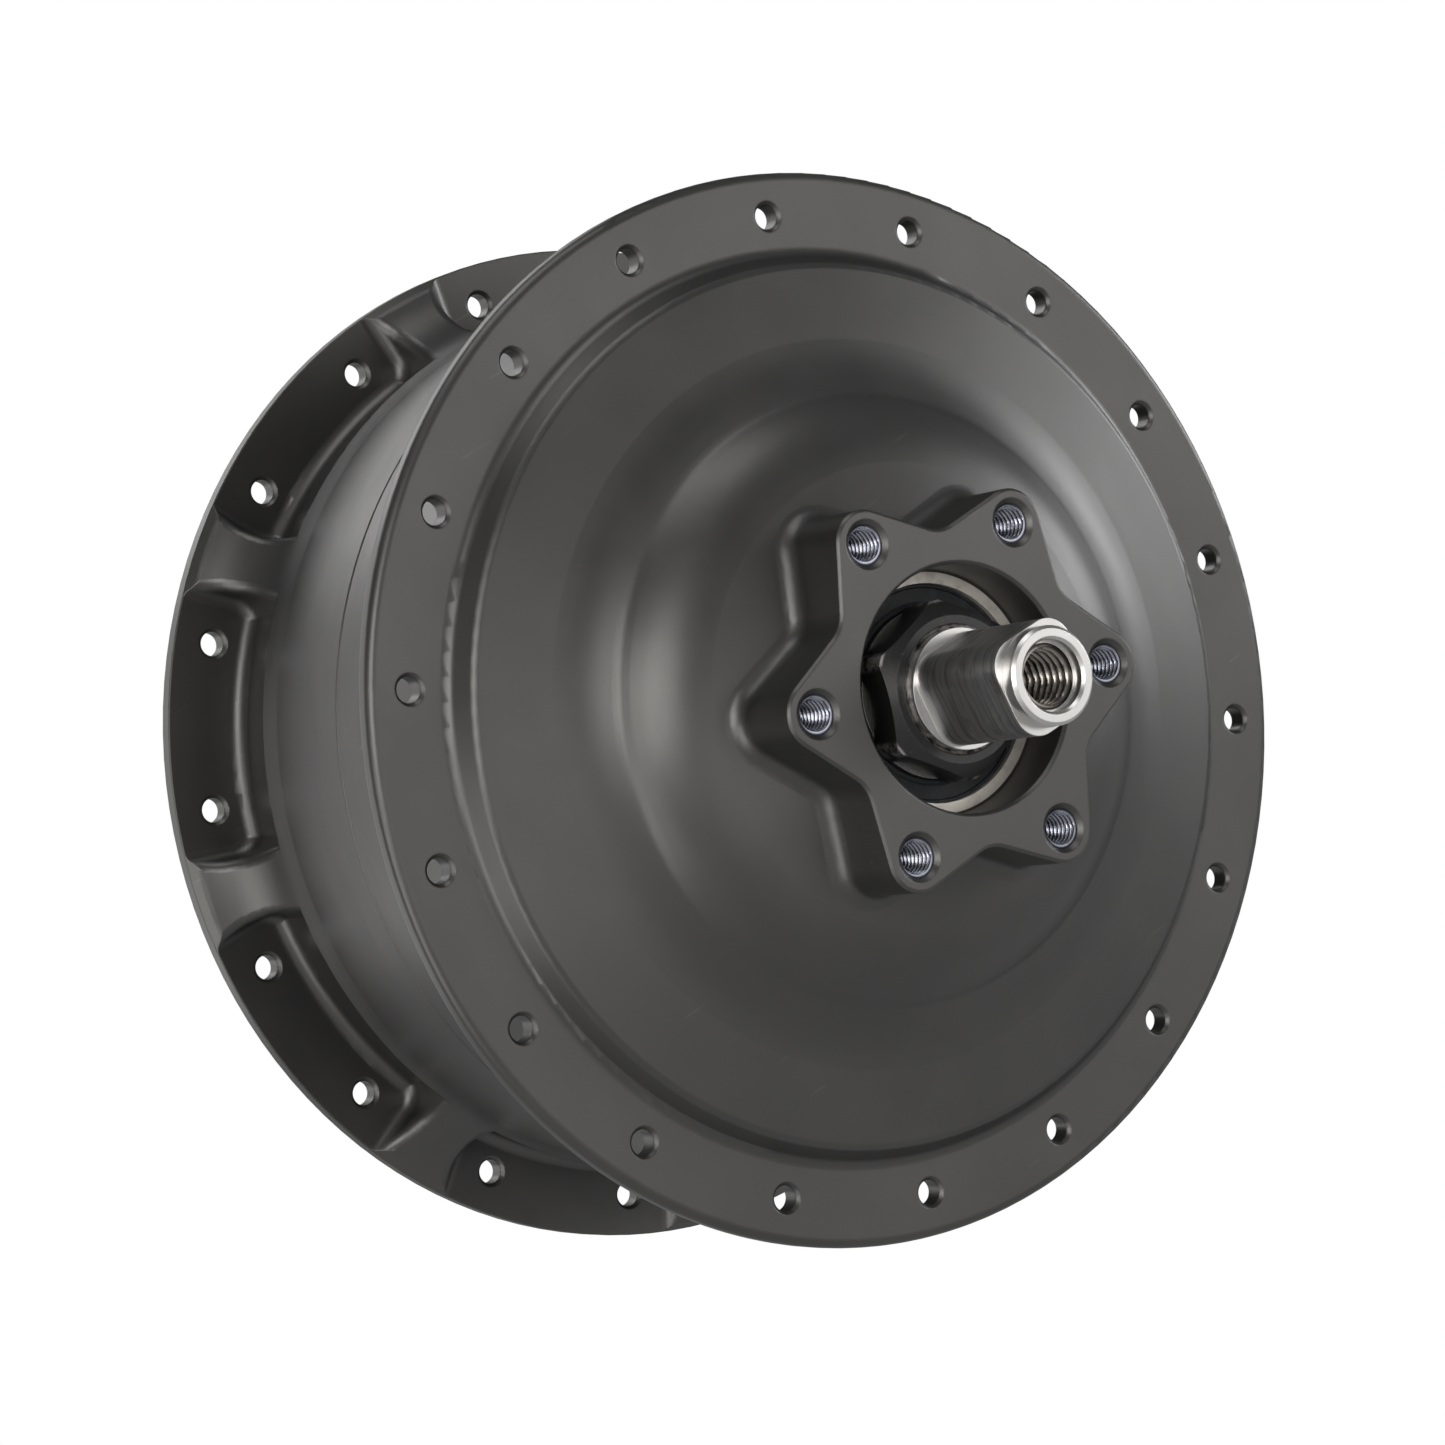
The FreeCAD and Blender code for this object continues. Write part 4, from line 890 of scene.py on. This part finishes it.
@dataclass
class Softbox:
    """Rectangular studio light aimed at the hub."""

    name: str
    azimuth: float
    elevation: float
    distance: float
    width: float
    height: float
    power: float
    colour: Colour = (1.0, 1.0, 1.0)
    roll: float = 0.0

    def place(self) -> bpy.types.Object:
        """Put the light in the scene, aimed at the hub and hidden from the camera.

        Returns:
            The light.
        """
        back = direction_at(self.azimuth, self.elevation)
        data = bpy.data.lights.new(self.name, "AREA")
        data.shape = "RECTANGLE"
        data.size = self.width
        data.size_y = self.height
        data.energy = self.power
        data.color = self.colour
        light = bpy.data.objects.new(self.name, data)
        light.location = back * self.distance
        light.visible_camera = False
        light.rotation_mode = "QUATERNION"
        facing = (-back).to_track_quat("-Z", "Y")
        light.rotation_quaternion = facing @ Quaternion((0.0, 0.0, 1.0), math.radians(self.roll))
        bpy.context.scene.collection.objects.link(light)
        return light


@dataclass
class Studio:
    """Plain pale studio: floor, surround, soft lights and camera."""

    floor_z: float = -0.30
    floor_half: float = 6.0
    floor_glow: float = 0.38
    surround_low: float = 0.22
    surround_high: float = 0.14
    horizon_low: float = -0.6
    horizon_high: float = 0.9

    def floor(self) -> None:
        """White floor that reads as paper, and gives the hub only a little light."""
        h = self.floor_half
        z = self.floor_z
        points = np.array([[[-h, -h, z], [h, -h, z]], [[-h, h, z], [h, h, z]]])
        piece = grid_piece("studio_floor", points, False, False)
        sheet = FinishSheet("studio_floor")
        seen = sheet.output("ShaderNodeLightPath", "Is Camera Ray")
        glow = seen * (1.0 - self.floor_glow) + self.floor_glow
        shader = sheet.node("ShaderNodeEmission", None, {"Color": WHITE, "Strength": glow})
        sheet.node("ShaderNodeOutputMaterial", None, {"Surface": shader.outputs[0]})
        piece.data.materials.append(sheet.material)

    def surround(self) -> None:
        """White to the eye, and a dim grey gradient to the hub's reflections."""
        world = bpy.data.worlds.new("studio_surround")
        bpy.context.scene.world = world
        world.use_nodes = True
        sheet = NodeSheet(world.node_tree)
        where = sheet.node("ShaderNodeTexCoord").outputs["Generated"]
        height = sheet.output("ShaderNodeSeparateXYZ", "Z", None, {0: where})
        glow = sheet.output("ShaderNodeMapRange", 0, None, {
            "Value": height, "From Min": self.horizon_low, "From Max": self.horizon_high,
            "To Min": self.surround_low, "To Max": self.surround_high})
        seen = sheet.output("ShaderNodeLightPath", "Is Camera Ray")
        strength = sheet.maths("MAXIMUM", glow, seen)
        back = sheet.node("ShaderNodeBackground", None, {"Color": WHITE, "Strength": strength})
        sheet.node("ShaderNodeOutputWorld", None, {"Surface": back.outputs[0]})

    def lights(self) -> None:
        """Soft lights round the hub."""
        boxes = [
            Softbox("key_softbox", -38.0, 24.0, 1.1, 0.62, 0.50, 4.2, (1.0, 0.985, 0.96)),
            Softbox("front_softbox", 18.0, -26.0, 1.2, 1.8, 1.4, 9.5, (1.0, 0.985, 0.965)),
            Softbox("strip_softbox", 72.0, -24.0, 1.0, 0.50, 0.95, 8.0, (0.96, 0.98, 1.0)),
            Softbox("top_softbox", 40.0, 72.0, 1.2, 0.5, 0.9, 2.5),
            Softbox("left_softbox", -74.0, -8.0, 1.1, 0.6, 1.2, 5.0, (1.0, 0.98, 0.95)),
            Softbox("rear_softbox", -158.0, -4.0, 1.2, 1.5, 1.8, 8.0),
            Softbox("rear_top_softbox", 170.0, 40.0, 1.2, 0.9, 0.5, 3.6),
        ]
        for box in boxes:
            box.place()

    def build(self) -> None:
        """Set the whole studio."""
        StudioCamera().place()
        self.floor()
        self.surround()
        self.lights()
        bpy.context.scene.view_settings.view_transform = "Standard"
        bpy.context.scene.view_settings.look = "None"


def main() -> None:
    """Build the studio, then every sub-assembly's finishes and added pieces."""
    logging.basicConfig(level=logging.INFO, format="%(name)s: %(message)s")
    Studio().build()
    shelf = FinishShelf()
    shell = Shell(shelf)
    axle = AxleGroup(shelf)
    for group in (shell, axle, DriveGroup(shelf), RollingSet(shelf)):
        group.dress()
        LOG.info("dressed %s", type(group).__name__)
    for piece in (shell.rotor_threads(), shell.seal(), axle.tip_threads()):
        LOG.info("made %s with %d faces", piece.name, len(piece.data.polygons))


if __name__ == "__main__":
    main()
